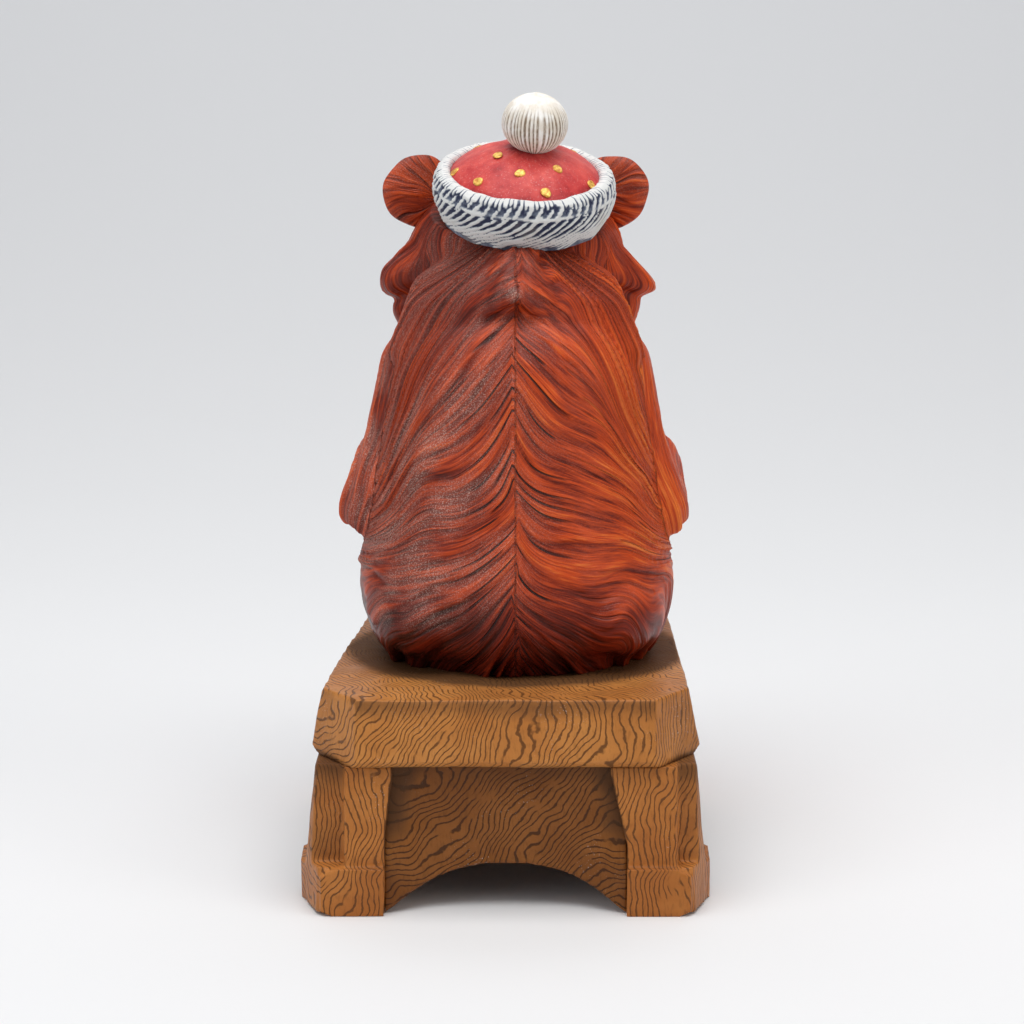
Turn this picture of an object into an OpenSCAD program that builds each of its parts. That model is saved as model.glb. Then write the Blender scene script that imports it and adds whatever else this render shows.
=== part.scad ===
// Carved wooden bear in a round winter hat, sitting on a four-legged stool.
// Millimetres, +Z up. The bear looks along -Y. The origin is on the surface that the
// stool stands on, at the centre of the whole figure's footprint box.

/* [Stool] */
// Width of the stool across its feet
stool_w = 86; // [82:1:92]
// Depth of the stool across its feet
stool_d = 96; // [90:1:102]
// Height of the seat's upper face
seat_top = 45; // [42:0.5:48]
// Thickness of the seat board
seat_t = 14; // [11:0.5:16]
// How far the seat's sides stand back from the outer faces of the feet
seat_back = 3; // [2.5:0.5:4]
// How much the seat narrows towards the front on its left side
seat_taper = 5; // [0:0.5:6]
// Side of the square block that each leg is cut from
leg_block = 18; // [16:0.5:20]
// Height of the foot left standing proud at the bottom of each leg
foot_h = 10; // [7:0.5:13]
// Thickness of the four arched aprons
apron_t = 7; // [5:0.5:8]
// Height of the arch under each apron
arch_h = 10; // [7:0.5:13]

/* [Bear] */
// How far the bear sits to the stool's left or right of its centre
bear_x = -2.2; // [-4:0.1:4]
// Half of the torso's greatest width
belly_r = 35; // [33:0.5:36]
// Height of the nape above the surface that the stool stands on
nape_z = 127; // [125:0.5:128]
// Half of the head's width, without the tufts on the cheeks
skull_r = 24.5; // [23:0.5:26]
// Radius of each ear
ear_r = 8.4; // [7.5:0.1:9]
// Radius of the glass eyes
eye_r = 2; // [1.6:0.1:2.4]

/* [Hat] */
// Outer radius of the fur trim
trim_r = 20.2; // [19:0.1:21]
// Height of the fur trim along the hat's own axis
trim_h = 11; // [10:0.5:12]
// Radius of the crown inside the trim
crown_r = 17.2; // [16.5:0.1:17.4]
// Height that the crown's dome stands above the trim
dome_h = 6.5; // [5:0.5:7.5]
// Radius of the bobble on the crown
bobble_r = 7.1; // [6:0.1:8]
// How far the bobble sits to the right of the crown's middle
bobble_off = 1.6; // [0:0.1:3]
// How far the hat leans towards the bear's back, in degrees
hat_lean = 20; // [16:1:24]
// How far the hat leans towards the bear's right, in degrees
hat_roll = 2.5; // [0:0.5:6]

/* [Joinery] */
// Radius of the wooden dowels
dowel_r = 2; // [1.5:0.1:2.5]
// Clearance around a dowel in its hole
dowel_gap = 0.05; // [0.02:0.01:0.1]
// Length of each apron's tenon
tenon_l = 6; // [4:0.5:8]
// Thickness of each apron's tenon
tenon_t = 4; // [3:0.5:4.5]

/* [Hidden] */

// Stool, measured from its own centre
stool_y = 12;                              // the stool's centre, behind the figure's
half_w = stool_w / 2;
half_d = stool_d / 2;
seat_under = seat_top - seat_t;
seat_hw = half_w - seat_back;
seat_hd = half_d - 1.5;
seat_corner = [6, 14];                     // what the seat's corners lose across and along
strip_w = 9.5;                             // the two proud strips on each post
strip_step = 3;                            // how deep the corner between them is cut
post_foot = [1.4, 1.4];                    // how far a post's foot stands behind its block
post_head = [3, 2.4];                      // how far a post's head stands behind its block
apron_back = 4.5;                          // how far an apron stands behind the feet
tenon_h = 13;
tenon_z = 14;
leg_dowel_in = 4.5;                        // from a leg's inner faces to its dowel's axis
leg_dowel_at = [half_w - leg_block + leg_dowel_in, half_d - leg_block + leg_dowel_in];
dowel_l = 14;
screw_r = 1.75;
screw_head_r = 3.4;
screw_l = 26;
screw_spread = 11;

// Bear, measured from the bear's own axis and the stool's centre
skin = [20, 24];                           // $fn of limbs, and of the torso and head
shoulder = [20.5, -1, 108];
nape = [0, 6, nape_z - 11];
skull = [0, -20, 131];
ear_at = [22, -26.5, 145.3];
ear_t = 5;
ear_yaw = 14;
eye_at = [9.2, -39.2, 133.5];
nose_at = [0, -52.6, 126.2];
nose_r = [4.6, 3.4, 3.2];
shoulder_pin = [[9, -1, 102.3], [22, -1, 104]];
hip_pin = [[15, 6, 57], [15, -21, 57]];
neck_pin = [[0, -6, 102], [0, -18.6, 125.9]];
ear_pin = [[12, -26.5, 136.5], [20, -26.5, 143.2]];

// Hat, measured along its own axis from the middle of its rim
hat_at = [-1.9, -8.3, 149.8];                  // the rim's middle, from the bear's axis
trim_foot_r = 15.5;
crown_gap = 0.1;
hat_dowel_l = 22;
hat_dowel_r = 2.5;
pin_r = 1.25;
bobble_sink = 1.5;
dome_ball_r = (crown_r * crown_r + dome_h * dome_h) / (2 * dome_h);

wood_red = [0.55, 0.2, 0.08];
wood_tan = [0.62, 0.4, 0.2];
wood_pale = [0.8, 0.66, 0.45];

// ---- helpers ----

// Moves to the bear's own axis.
module on_bear() {
    translate([bear_x, stool_y, 0]) children();
}

// Moves to the middle of the hat's rim, with +Z along the hat's axis.
module on_hat() {
    on_bear() translate(hat_at) rotate([-hat_lean, -hat_roll, 0]) children();
}

// Mirrors across the figure's middle when side is -1.
module to_side(side) {
    mirror([side < 0 ? 1 : 0, 0, 0]) children();
}

// An egg with three radii.
module egg(at, r, fn) {
    translate(at) scale(r) sphere(1, $fn = fn);
}

// A limb: a chain of balls, each [x, y, z, radius], hulled two at a time.
module limb(balls, fn) {
    for (i = [0 : len(balls) - 2])
        hull() {
            for (b = [balls[i], balls[i + 1]])
                translate([b[0], b[1], b[2]]) sphere(b[3], $fn = fn);
        }
}

// A dowel along a pin's line, stopping short of both its ends by trim.
module rod(pin, r, trim = 0) {
    d = pin[1] - pin[0];
    l = norm(d);
    translate(pin[0]) rotate([0, acos(d[2] / l), atan2(d[1], d[0])])
        translate([0, 0, trim]) cylinder(l - 2 * trim, r, r, $fn = 48);
}

// ---- stool ----

// Plan of a seat with its four corners cut off, narrower in front on its left side.
module seat_plan() {
    w = seat_hw;
    d = seat_hd;
    c = seat_corner;
    front = w - seat_taper;
    polygon([
        [w - c[0], d], [w, d - c[1]], [front, c[1] - d], [front - c[0], -d],
        [c[0] - w, -d], [-w, c[1] - d], [-w, d - c[1]], [c[0] - w, d]
    ]);
}

// Cross-section of a slab whose sides slope in towards the top and are eased underneath.
module slab_section(half) {
    slope = 2.6;
    ease = 2;
    polygon([
        [-half, ease], [ease - half, 0], [half - ease, 0], [half, ease],
        [half - slope, seat_t], [slope - half, seat_t]
    ]);
}

module seat_board() {
    color(wood_tan)
    translate([0, stool_y, 0])
    difference() {
        translate([0, 0, seat_under]) intersection() {
            linear_extrude(seat_t) seat_plan();
            translate([0, half_d, 0]) rotate([90, 0, 0])
                linear_extrude(stool_d) slab_section(seat_hw);
            translate([-half_w, 0, 0]) rotate([90, 0, 90])
                linear_extrude(stool_w) slab_section(seat_hd);
        }
        for (x = [-1, 1], y = [-1, 1])
            translate([x * leg_dowel_at[0], y * leg_dowel_at[1], seat_under - 1])
                cylinder(dowel_l / 2 + 1.3, dowel_r + dowel_gap, dowel_r + dowel_gap, $fn = 48);
        for (s = [-1, 1]) translate([bear_x + s * screw_spread, 0, seat_under - 1]) {
            cylinder(seat_t + 2, screw_r + dowel_gap, screw_r + dowel_gap, $fn = 48);
            cylinder(3.6, screw_head_r + 0.2, screw_head_r + 0.2, $fn = 48);
        }
    }
}

// Plan of a post that stands back from the faces of its foot.
module post_plan(back) {
    x0 = half_w - leg_block;
    y0 = half_d - leg_block;
    polygon([
        [x0, y0], [half_w - back[0], y0], [half_w - back[0], half_d - 9 - back[1]],
        [half_w - 3 - back[0], half_d - back[1]], [x0, half_d - back[1]]
    ]);
}

// A post that narrows upwards, with its outer corner cut back between two proud strips.
module post() {
    notch = [half_w - leg_block + strip_w, half_d - post_head[1] - strip_step, foot_h];
    difference() {
        hull() {
            linear_extrude(foot_h) post_plan(post_foot);
            translate([0, 0, seat_under - 1]) linear_extrude(1) post_plan(post_head);
        }
        translate(notch) rotate(-14) cube([leg_block, strip_step * 3, seat_under]);
    }
}

// Plan of a foot: a square block with its outer corner cut off.
module foot_plan() {
    x0 = half_w - leg_block;
    y0 = half_d - leg_block;
    polygon([
        [x0, y0], [half_w, y0], [half_w, half_d - 12], [half_w - 5, half_d], [x0, half_d]
    ]);
}

// A slot for one tenon, along X or along Y.
module mortise(along_x) {
    x = along_x ? half_w - leg_block - 1 : half_w - apron_back - (apron_t + tenon_t) / 2;
    y = along_x ? half_d - apron_back - (apron_t + tenon_t) / 2 : half_d - leg_block - 1;
    size = along_x ? [tenon_l + 1.2, tenon_t, tenon_h] : [tenon_t, tenon_l + 1.2, tenon_h];
    translate([x, y, tenon_z]) cube(size);
}

module stool_leg(side_x, side_y) {
    color(wood_tan)
    translate([0, stool_y, 0])
    mirror([side_x < 0 ? 1 : 0, 0, 0]) mirror([0, side_y < 0 ? 1 : 0, 0])
    difference() {
        union() {
            linear_extrude(foot_h) foot_plan();
            post();
        }
        mortise(true);
        mortise(false);
        translate([leg_dowel_at[0], leg_dowel_at[1], seat_under - dowel_l / 2 - 0.3])
            cylinder(dowel_l, dowel_r + dowel_gap, dowel_r + dowel_gap, $fn = 48);
    }
}

// An apron in elevation: a board with a low arch, whose centre is under the floor.
module apron(half_l) {
    span = half_l - 0.5;
    ball = (span * span + arch_h * arch_h) / (2 * arch_h);
    difference() {
        translate([-half_l, -apron_t / 2, 0]) cube([2 * half_l, apron_t, seat_under]);
        translate([0, apron_t, arch_h - ball]) rotate([90, 0, 0])
            cylinder(2 * apron_t, ball, ball, $fn = 160);
    }
    for (s = [-1, 1])
        translate([s * (half_l + tenon_l / 2 - 0.5), 0, tenon_z + tenon_h / 2])
            cube([tenon_l + 1, tenon_t, tenon_h], center = true);
}

module apron_across(side_y) {
    color(wood_tan)
    translate([0, stool_y + side_y * (half_d - apron_back - apron_t / 2), 0])
        apron(half_w - leg_block);
}

module apron_along(side_x) {
    color(wood_tan)
    translate([side_x * (half_w - apron_back - apron_t / 2), stool_y, 0]) rotate(90)
        apron(half_d - leg_block);
}

module leg_dowels() {
    color(wood_pale)
    for (x = [-1, 1], y = [-1, 1])
        translate([x * leg_dowel_at[0], stool_y + y * leg_dowel_at[1], seat_under - dowel_l / 2])
            cylinder(dowel_l, dowel_r, dowel_r, $fn = 48);
}

// Two countersunk wood screws, up through the seat into the torso.
module seat_screws() {
    color("silver")
    for (s = [-1, 1])
        translate([bear_x + s * screw_spread, stool_y, seat_under + 0.6]) {
            difference() {
                cylinder(2, screw_head_r, screw_r, $fn = 48);
                for (a = [0, 90]) rotate(a) cube([4, 0.8, 1.6], center = true);
            }
            cylinder(screw_l - 4, screw_r, screw_r, $fn = 48);
            translate([0, 0, screw_l - 4]) cylinder(4, screw_r, 0.3, $fn = 48);
        }
}

// ---- bear ----

// The torso before anything is let into it.
module torso_form() {
    hull() {
        egg([0, -1, 62], [belly_r, 32, 32], skin[1]);
        egg([0, -1, 101.5], [28.8, 26, 25], skin[1]);
        egg(nape, [14, 10, 11], skin[1]);
    }
}

// Upper arm, forearm, paw and five claws. The right forearm is carried higher.
function arm_balls(raised) = [
    concat(shoulder, [9.5]),
    [24.6, -1, 93, 8.4],
    [30.8, -1, 77, 7.4],
    raised ? [30, -19, 84, 8] : [28.6, -19, 79, 7.2],
    raised ? [17, -33, 94, 6.6] : [17, -34, 84, 6.4],
    raised ? [7, -36, 98, 6.2] : [7.5, -38, 85.5, 6.2]
];

module arm_form(raised) {
    balls = arm_balls(raised);
    paw = balls[5];
    limb(balls, skin[0]);
    for (i = [0 : 4]) hull() {
        translate([paw[0] - 3, paw[1] - 1, paw[2] + 4.4 - 2.2 * i]) sphere(1.7, $fn = 13);
        translate([paw[0] - 7.4 + abs(i - 2) * 0.5, paw[1] + 0.4, paw[2] + 5 - 2.5 * i])
            sphere(0.9, $fn = 13);
    }
}

module arm(side) {
    color(wood_red)
    on_bear() difference() {
        to_side(side) arm_form(side < 0);
        to_side(side) rod(shoulder_pin, dowel_r + dowel_gap);
    }
}

// Thigh, shin and foot with toes; the thigh lies on the seat and the shin hangs in front of it.
thigh = [15, -17, 58, 12.8];
knee = [16.5, -46, 57.6, 12.6];
ankle = [17.2, -55.6, 35, 10.6];
heel = [17.6, -55.4, 24, 8.6];
ball_of_foot = [18.8, -62, 22, 9.2];
sole_z = 14;
toe_r = [[2.6, 4, 5], [2.2, 2, 3.8]];

module hind_leg_form() {
    difference() {
        union() {
            limb([thigh, knee], skin[0]);
            limb([knee, ankle], skin[0]);
            hull() for (b = [ankle, heel, ball_of_foot])
                translate([b[0], b[1], b[2]]) sphere(b[3], $fn = skin[0]);
            for (i = [-2 : 2]) hull() {
                egg([ball_of_foot[0] + 3.7 * i, -65.6 + 0.6 * abs(i), 22.5], toe_r[0], 16);
                egg([ball_of_foot[0] + 3.8 * i, -70 + 0.8 * abs(i), 21], toe_r[1], 16);
            }
        }
        translate([-bear_x - half_w, -seat_hd - 0.2, 0]) cube([stool_w, stool_d, seat_top]);
        translate([0, ball_of_foot[1], sole_z - 10]) cube([2 * stool_w, stool_d, 20], center = true);
    }
}

module hind_leg(side) {
    color(wood_red)
    on_bear() difference() {
        to_side(side) hind_leg_form();
        to_side(side) rod(hip_pin, dowel_r + dowel_gap);
    }
}

module torso() {
    color(wood_red)
    on_bear() difference() {
        torso_form();
        translate([-50, -50, 0]) cube([100, 100, seat_top]);
        arm_form(false);
        to_side(-1) arm_form(true);
        for (side = [-1, 1]) to_side(side) {
            hind_leg_form();
            rod(hip_pin, dowel_r + dowel_gap);
            rod(shoulder_pin, dowel_r + dowel_gap);
        }
        for (s = [-1, 1]) translate([s * screw_spread, 0, seat_top - 1])
            cylinder(screw_l - seat_t + 2, screw_r + dowel_gap, screw_r + dowel_gap, $fn = 48);
        rod(neck_pin, dowel_r + dowel_gap);
    }
}

module shoulder_dowels() {
    color(wood_pale)
    on_bear() for (side = [-1, 1]) to_side(side) rod(shoulder_pin, dowel_r, 0.4);
}

module hip_dowels() {
    color(wood_pale)
    on_bear() for (side = [-1, 1]) to_side(side) rod(hip_pin, dowel_r, 0.4);
}

module neck_dowel() {
    color(wood_pale)
    on_bear() rod(neck_pin, dowel_r, 0.4);
}

// The head before it is fitted to the torso, the hat, the ears and the eyes.
module head_form() {
    egg(skull, [skull_r, 21.5, 19], skin[1]);
    hull() {
        egg([0, -36, 124.5], [12, 6, 10.5], skin[0]);
        egg([0, -48, 122.6], [8.6, 6.4, 7.6], skin[0]);
    }
    hull() {
        egg([0, -26, 117], [17, 14, 8.5], skin[0]);
        egg([0, -44, 115.6], [6.4, 5.4, 4.4], skin[0]);
    }
    hull() {
        egg([0, -33, 138], [13, 8, 6], skin[0]);
        egg([0, -41, 130], [8, 5, 5], skin[0]);
    }
    for (side = [-1, 1]) to_side(side) {
        hull() {
            egg([13, -18, 131], [10, 12, 9], skin[0]);
            egg([29, -18, 123.4], [1.8, 3.4, 1.8], 16);
        }
        hull() {
            egg([13, -19, 121], [10, 12, 8], skin[0]);
            egg([26.4, -18.5, 116.6], [1.6, 3, 1.6], 16);
        }
    }
}

// The flat that the hat stands on, and everything above it.
module above_hat_seat() {
    on_hat() translate([0, 0, -trim_h]) cylinder(40, 30, 30, $fn = 48);
}

module ear_peg(side, r) {
    on_bear() to_side(side) rod(ear_pin, r);
}

module head() {
    color(wood_red)
    difference() {
        on_bear() difference() {
            head_form();
            torso_form();
            for (side = [-1, 1]) to_side(side) translate(eye_at) sphere(eye_r + 0.05, $fn = 24);
            nose_form(0.05);
            arm_form(false);
            to_side(-1) arm_form(true);
            rod(neck_pin, dowel_r + dowel_gap);
        }
        above_hat_seat();
        for (side = [-1, 1]) {
            ear_disc(side);
            ear_peg(side, dowel_r + dowel_gap);
        }
        on_hat() translate([0, 0, -hat_dowel_l]) hat_dowel_hole(hat_dowel_l);
    }
}

// The hole for the dowel that holds the hat on.
module hat_dowel_hole(depth) {
    cylinder(depth, hat_dowel_r + dowel_gap, hat_dowel_r + dowel_gap, $fn = 48);
}

// One ear: a turned lens, hollowed in front.
module ear_disc(side) {
    on_bear() translate([side * ear_at[0], ear_at[1], ear_at[2]])
        rotate([90, 0, side * ear_yaw]) rotate_extrude($fn = 72)
            polygon([
                [0, -ear_t / 2], [ear_r * 0.6, -ear_t * 0.44], [ear_r * 0.92, -ear_t * 0.2],
                [ear_r, 0], [ear_r * 0.95, ear_t * 0.26], [ear_r * 0.8, ear_t * 0.36],
                [ear_r * 0.62, ear_t * 0.2], [0, ear_t * 0.1]
            ]);
}

module ear(side) {
    color(wood_red)
    difference() {
        union() {
            ear_disc(side);
            ear_peg(side, dowel_r);
        }
        on_hat() translate([0, 0, -trim_h]) cylinder(trim_h + 2, trim_r + 0.2, trim_r + 0.2, $fn = 96);
    }
}

module eye(side) {
    color("black")
    on_bear() translate([side * eye_at[0], eye_at[1], eye_at[2]]) sphere(eye_r, $fn = 48);
}

// The nose, let into the end of the muzzle with some room around it.
module nose_form(room) {
    r = nose_r + [room, room, room];
    egg(nose_at, r, 32);
}

module nose() {
    color("black")
    on_bear() nose_form(0);
}

// ---- hat ----

module hat_dowel() {
    color(wood_pale)
    on_hat() translate([0, 0, 0.5 - hat_dowel_l])
        cylinder(hat_dowel_l - 3, hat_dowel_r, hat_dowel_r, $fn = 48);
}

module hat_trim() {
    color("white")
    on_hat() rotate_extrude($fn = 96) polygon([
        [crown_r + crown_gap, -trim_h], [crown_r + crown_gap, -0.2], [trim_r - 1.6, 0.9],
        [trim_r - 0.4, -0.9], [trim_r, -3.2], [trim_r - 0.6, -6], [trim_r - 2, -8.8],
        [trim_r - 2.8, -trim_h]
    ]);
}

// The bobble's ball, sunk a little into the top of the crown.
module bobble_ball() {
    translate([-bobble_off, 0, dome_h + bobble_r - bobble_sink]) sphere(bobble_r, $fn = 96);
}

module hat_crown() {
    color([0.62, 0.1, 0.1])
    on_hat() difference() {
        union() {
            translate([0, 0, -trim_h]) cylinder(trim_h, crown_r, crown_r, $fn = 96);
            intersection() {
                translate([0, 0, dome_h - dome_ball_r]) sphere(dome_ball_r, $fn = 160);
                translate([0, 0, -0.5]) cylinder(dome_h + 2, crown_r, crown_r, $fn = 96);
            }
        }
        translate([0, 0, -trim_h - 1]) hat_dowel_hole(trim_h - 1.3);
        translate([-bobble_off, 0, dome_h - 6]) cylinder(10, pin_r + dowel_gap, pin_r + dowel_gap, $fn = 48);
        bobble_ball();
    }
}

module bobble_pin() {
    color("silver")
    on_hat() translate([-bobble_off, 0, dome_h - 5.7]) cylinder(10.4, pin_r, pin_r, $fn = 48);
}

module bobble() {
    color("ivory")
    on_hat() difference() {
        bobble_ball();
        translate([-bobble_off, 0, dome_h - 6]) cylinder(11, pin_r + dowel_gap, pin_r + dowel_gap, $fn = 48);
    }
}

seat_board();
stool_leg(1, 1);  // stool_leg_rear_left
stool_leg(-1, 1);  // stool_leg_rear_right
stool_leg(1, -1);  // stool_leg_front_left
stool_leg(-1, -1);  // stool_leg_front_right
apron_across(1);  // apron_rear
apron_across(-1);  // apron_front
apron_along(1);  // apron_left
apron_along(-1);  // apron_right
leg_dowels();
seat_screws();
torso();
arm(1);  // arm_left
arm(-1);  // arm_right
hind_leg(1);  // hind_leg_left
hind_leg(-1);  // hind_leg_right
shoulder_dowels();
hip_dowels();
neck_dowel();
head();
ear(1);  // ear_left
ear(-1);  // ear_right
eye(1);  // eye_left
eye(-1);  // eye_right
nose();
hat_dowel();
hat_trim();
hat_crown();
bobble_pin();
bobble();
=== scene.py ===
"""The looks of a carved wooden bear in a round winter hat, sitting on a low stool."""

import logging
import math
from collections.abc import Sequence
from dataclasses import dataclass, field
from enum import Enum

import bpy
import numpy as np
from mathutils import Matrix, Vector
from mathutils.bvhtree import BVHTree


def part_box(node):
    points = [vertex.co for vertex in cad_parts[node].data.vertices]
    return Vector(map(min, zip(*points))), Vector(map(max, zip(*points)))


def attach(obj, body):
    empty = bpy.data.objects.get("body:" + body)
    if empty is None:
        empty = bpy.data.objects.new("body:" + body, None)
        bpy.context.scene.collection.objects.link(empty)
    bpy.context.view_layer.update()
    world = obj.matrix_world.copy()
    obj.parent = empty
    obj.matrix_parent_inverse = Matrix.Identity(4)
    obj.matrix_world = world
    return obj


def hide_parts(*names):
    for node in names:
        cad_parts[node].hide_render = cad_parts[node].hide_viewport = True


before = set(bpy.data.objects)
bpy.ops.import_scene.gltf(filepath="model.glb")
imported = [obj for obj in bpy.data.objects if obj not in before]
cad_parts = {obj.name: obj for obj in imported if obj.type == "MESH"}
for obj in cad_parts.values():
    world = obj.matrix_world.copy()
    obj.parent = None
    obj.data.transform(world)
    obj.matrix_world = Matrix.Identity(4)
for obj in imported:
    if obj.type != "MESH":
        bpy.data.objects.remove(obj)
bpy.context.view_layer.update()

LOG = logging.getLogger("carving")
MM = 0.001
Triple = tuple[float, float, float]
Row = tuple[float, float, float, float, float, float]


# ---------------------------------------------------------------- bench tools


def put_down_everything() -> None:
    """Leaves no object selected and none in edit mode."""
    if bpy.context.object and bpy.context.object.mode != "OBJECT":
        bpy.ops.object.mode_set(mode="OBJECT")
    bpy.ops.object.select_all(action="DESELECT")


def pick_up(obj: bpy.types.Object) -> None:
    """Selects one object alone and makes it the active one.

    Args:
        obj: The object to work on.
    """
    put_down_everything()
    obj.select_set(True)
    bpy.context.view_layer.objects.active = obj


def set_in_place(obj: bpy.types.Object) -> None:
    """Puts an object's place, turn and size into its mesh."""
    pick_up(obj)
    bpy.ops.object.transform_apply(location=True, rotation=True, scale=True)


def finish_with(obj: bpy.types.Object, kind: str, **settings: object) -> None:
    """Adds one modifier and applies it at once.

    Args:
        obj: The object to work on.
        kind: The modifier's type.
        **settings: The modifier's own settings.
    """
    pick_up(obj)
    tool = obj.modifiers.new(kind.title(), kind)
    for name, value in settings.items():
        setattr(tool, name, value)
    bpy.ops.object.modifier_apply(modifier=tool.name)


def ball(centre: Triple, radii: Triple, around: int = 64) -> bpy.types.Object:
    """An egg-shaped lump.

    Args:
        centre: Its middle, in metres.
        radii: Its three radii, in metres.
        around: How many faces go round it.

    Returns:
        The new object, with its place in its mesh.
    """
    put_down_everything()
    bpy.ops.mesh.primitive_uv_sphere_add(segments=around, ring_count=around // 2, radius=1.0)
    obj = bpy.context.object
    obj.scale = radii
    obj.location = centre
    set_in_place(obj)
    return obj


def joined(parts: Sequence[bpy.types.Object], name: str) -> bpy.types.Object:
    """Makes several objects one.

    Args:
        parts: The objects to join.
        name: The name of the whole.

    Returns:
        The joined object.
    """
    pick_up(parts[0])
    for part in parts[1:]:
        part.select_set(True)
    if len(parts) > 1:
        bpy.ops.object.join()
    whole = bpy.context.object
    whole.name = name
    whole.data.name = name
    return whole


def wrapped(parts: Sequence[bpy.types.Object], name: str) -> bpy.types.Object:
    """Stretches one tight skin over several lumps.

    Args:
        parts: The lumps inside the skin.
        name: The name of the result.

    Returns:
        One convex object.
    """
    whole = joined(parts, name)
    bpy.ops.object.mode_set(mode="EDIT")
    bpy.ops.mesh.select_all(action="SELECT")
    bpy.ops.mesh.convex_hull()
    bpy.ops.object.mode_set(mode="OBJECT")
    return whole


def points_of(obj: bpy.types.Object) -> np.ndarray:
    """The mesh's points in millimetres, one row each."""
    flat = np.zeros(len(obj.data.vertices) * 3, np.float32)
    obj.data.vertices.foreach_get("co", flat)
    return flat.reshape(-1, 3).astype(float) / MM


def move_points(obj: bpy.types.Object, points: np.ndarray) -> None:
    """Puts the mesh's points where they are given, in millimetres."""
    obj.data.vertices.foreach_set("co", (points * MM).astype(np.float32).ravel())
    obj.data.update()


def outward_of(obj: bpy.types.Object) -> np.ndarray:
    """The direction straight out of the surface at each of the mesh's points."""
    flat = np.zeros(len(obj.data.vertices) * 3, np.float32)
    obj.data.vertices.foreach_get("normal", flat)
    return flat.reshape(-1, 3).astype(float)


def note_on_points(obj: bpy.types.Object, name: str, values: np.ndarray) -> None:
    """Keeps a number, or three, with each point for the finish to read.

    Args:
        obj: The object to write on.
        name: The attribute's name.
        values: One number, or a row of three, for each point.
    """
    many = values.ndim == 2
    layer = obj.data.attributes.new(name, "FLOAT_VECTOR" if many else "FLOAT", "POINT")
    layer.data.foreach_set("vector" if many else "value", values.astype(np.float32).ravel())


def smooth_shaded(obj: bpy.types.Object) -> None:
    """Shades every face of the object smooth."""
    pick_up(obj)
    bpy.ops.object.shade_smooth()


def ease(low: float, high: float, value: np.ndarray) -> np.ndarray:
    """Rises smoothly from 0 at low to 1 at high."""
    t = np.clip((value - low) / (high - low), 0.0, 1.0)
    return t * t * (3.0 - 2.0 * t)


def soft_over(value: np.ndarray, softness: float) -> np.ndarray:
    """Nothing below zero, the value above it, and a soft bend between."""
    return softness * np.logaddexp(0.0, value / softness)


class Wander:
    """Smooth seeded noise over two coordinates, from -1 to 1."""

    SIDE = 256

    def __init__(self, seed: int) -> None:
        """Draws the table of random heights.

        Args:
            seed: The number that the table grows from.
        """
        rng = np.random.default_rng(seed)
        self.table = rng.uniform(-1.0, 1.0, (self.SIDE, self.SIDE))

    def at(self, a: np.ndarray, b: np.ndarray) -> np.ndarray:
        """The noise at each pair of coordinates, one unit being one swing."""
        ia, ib = np.floor(a).astype(int), np.floor(b).astype(int)
        fa, fb = a - ia, b - ib
        fa, fb = fa * fa * (3 - 2 * fa), fb * fb * (3 - 2 * fb)
        t, n = self.table, self.SIDE
        low = t[ia % n, ib % n] * (1 - fa) + t[(ia + 1) % n, ib % n] * fa
        high = t[ia % n, (ib + 1) % n] * (1 - fa) + t[(ia + 1) % n, (ib + 1) % n] * fa
        return low * (1 - fb) + high * fb


# ---------------------------------------------------------------- finishes


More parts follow.
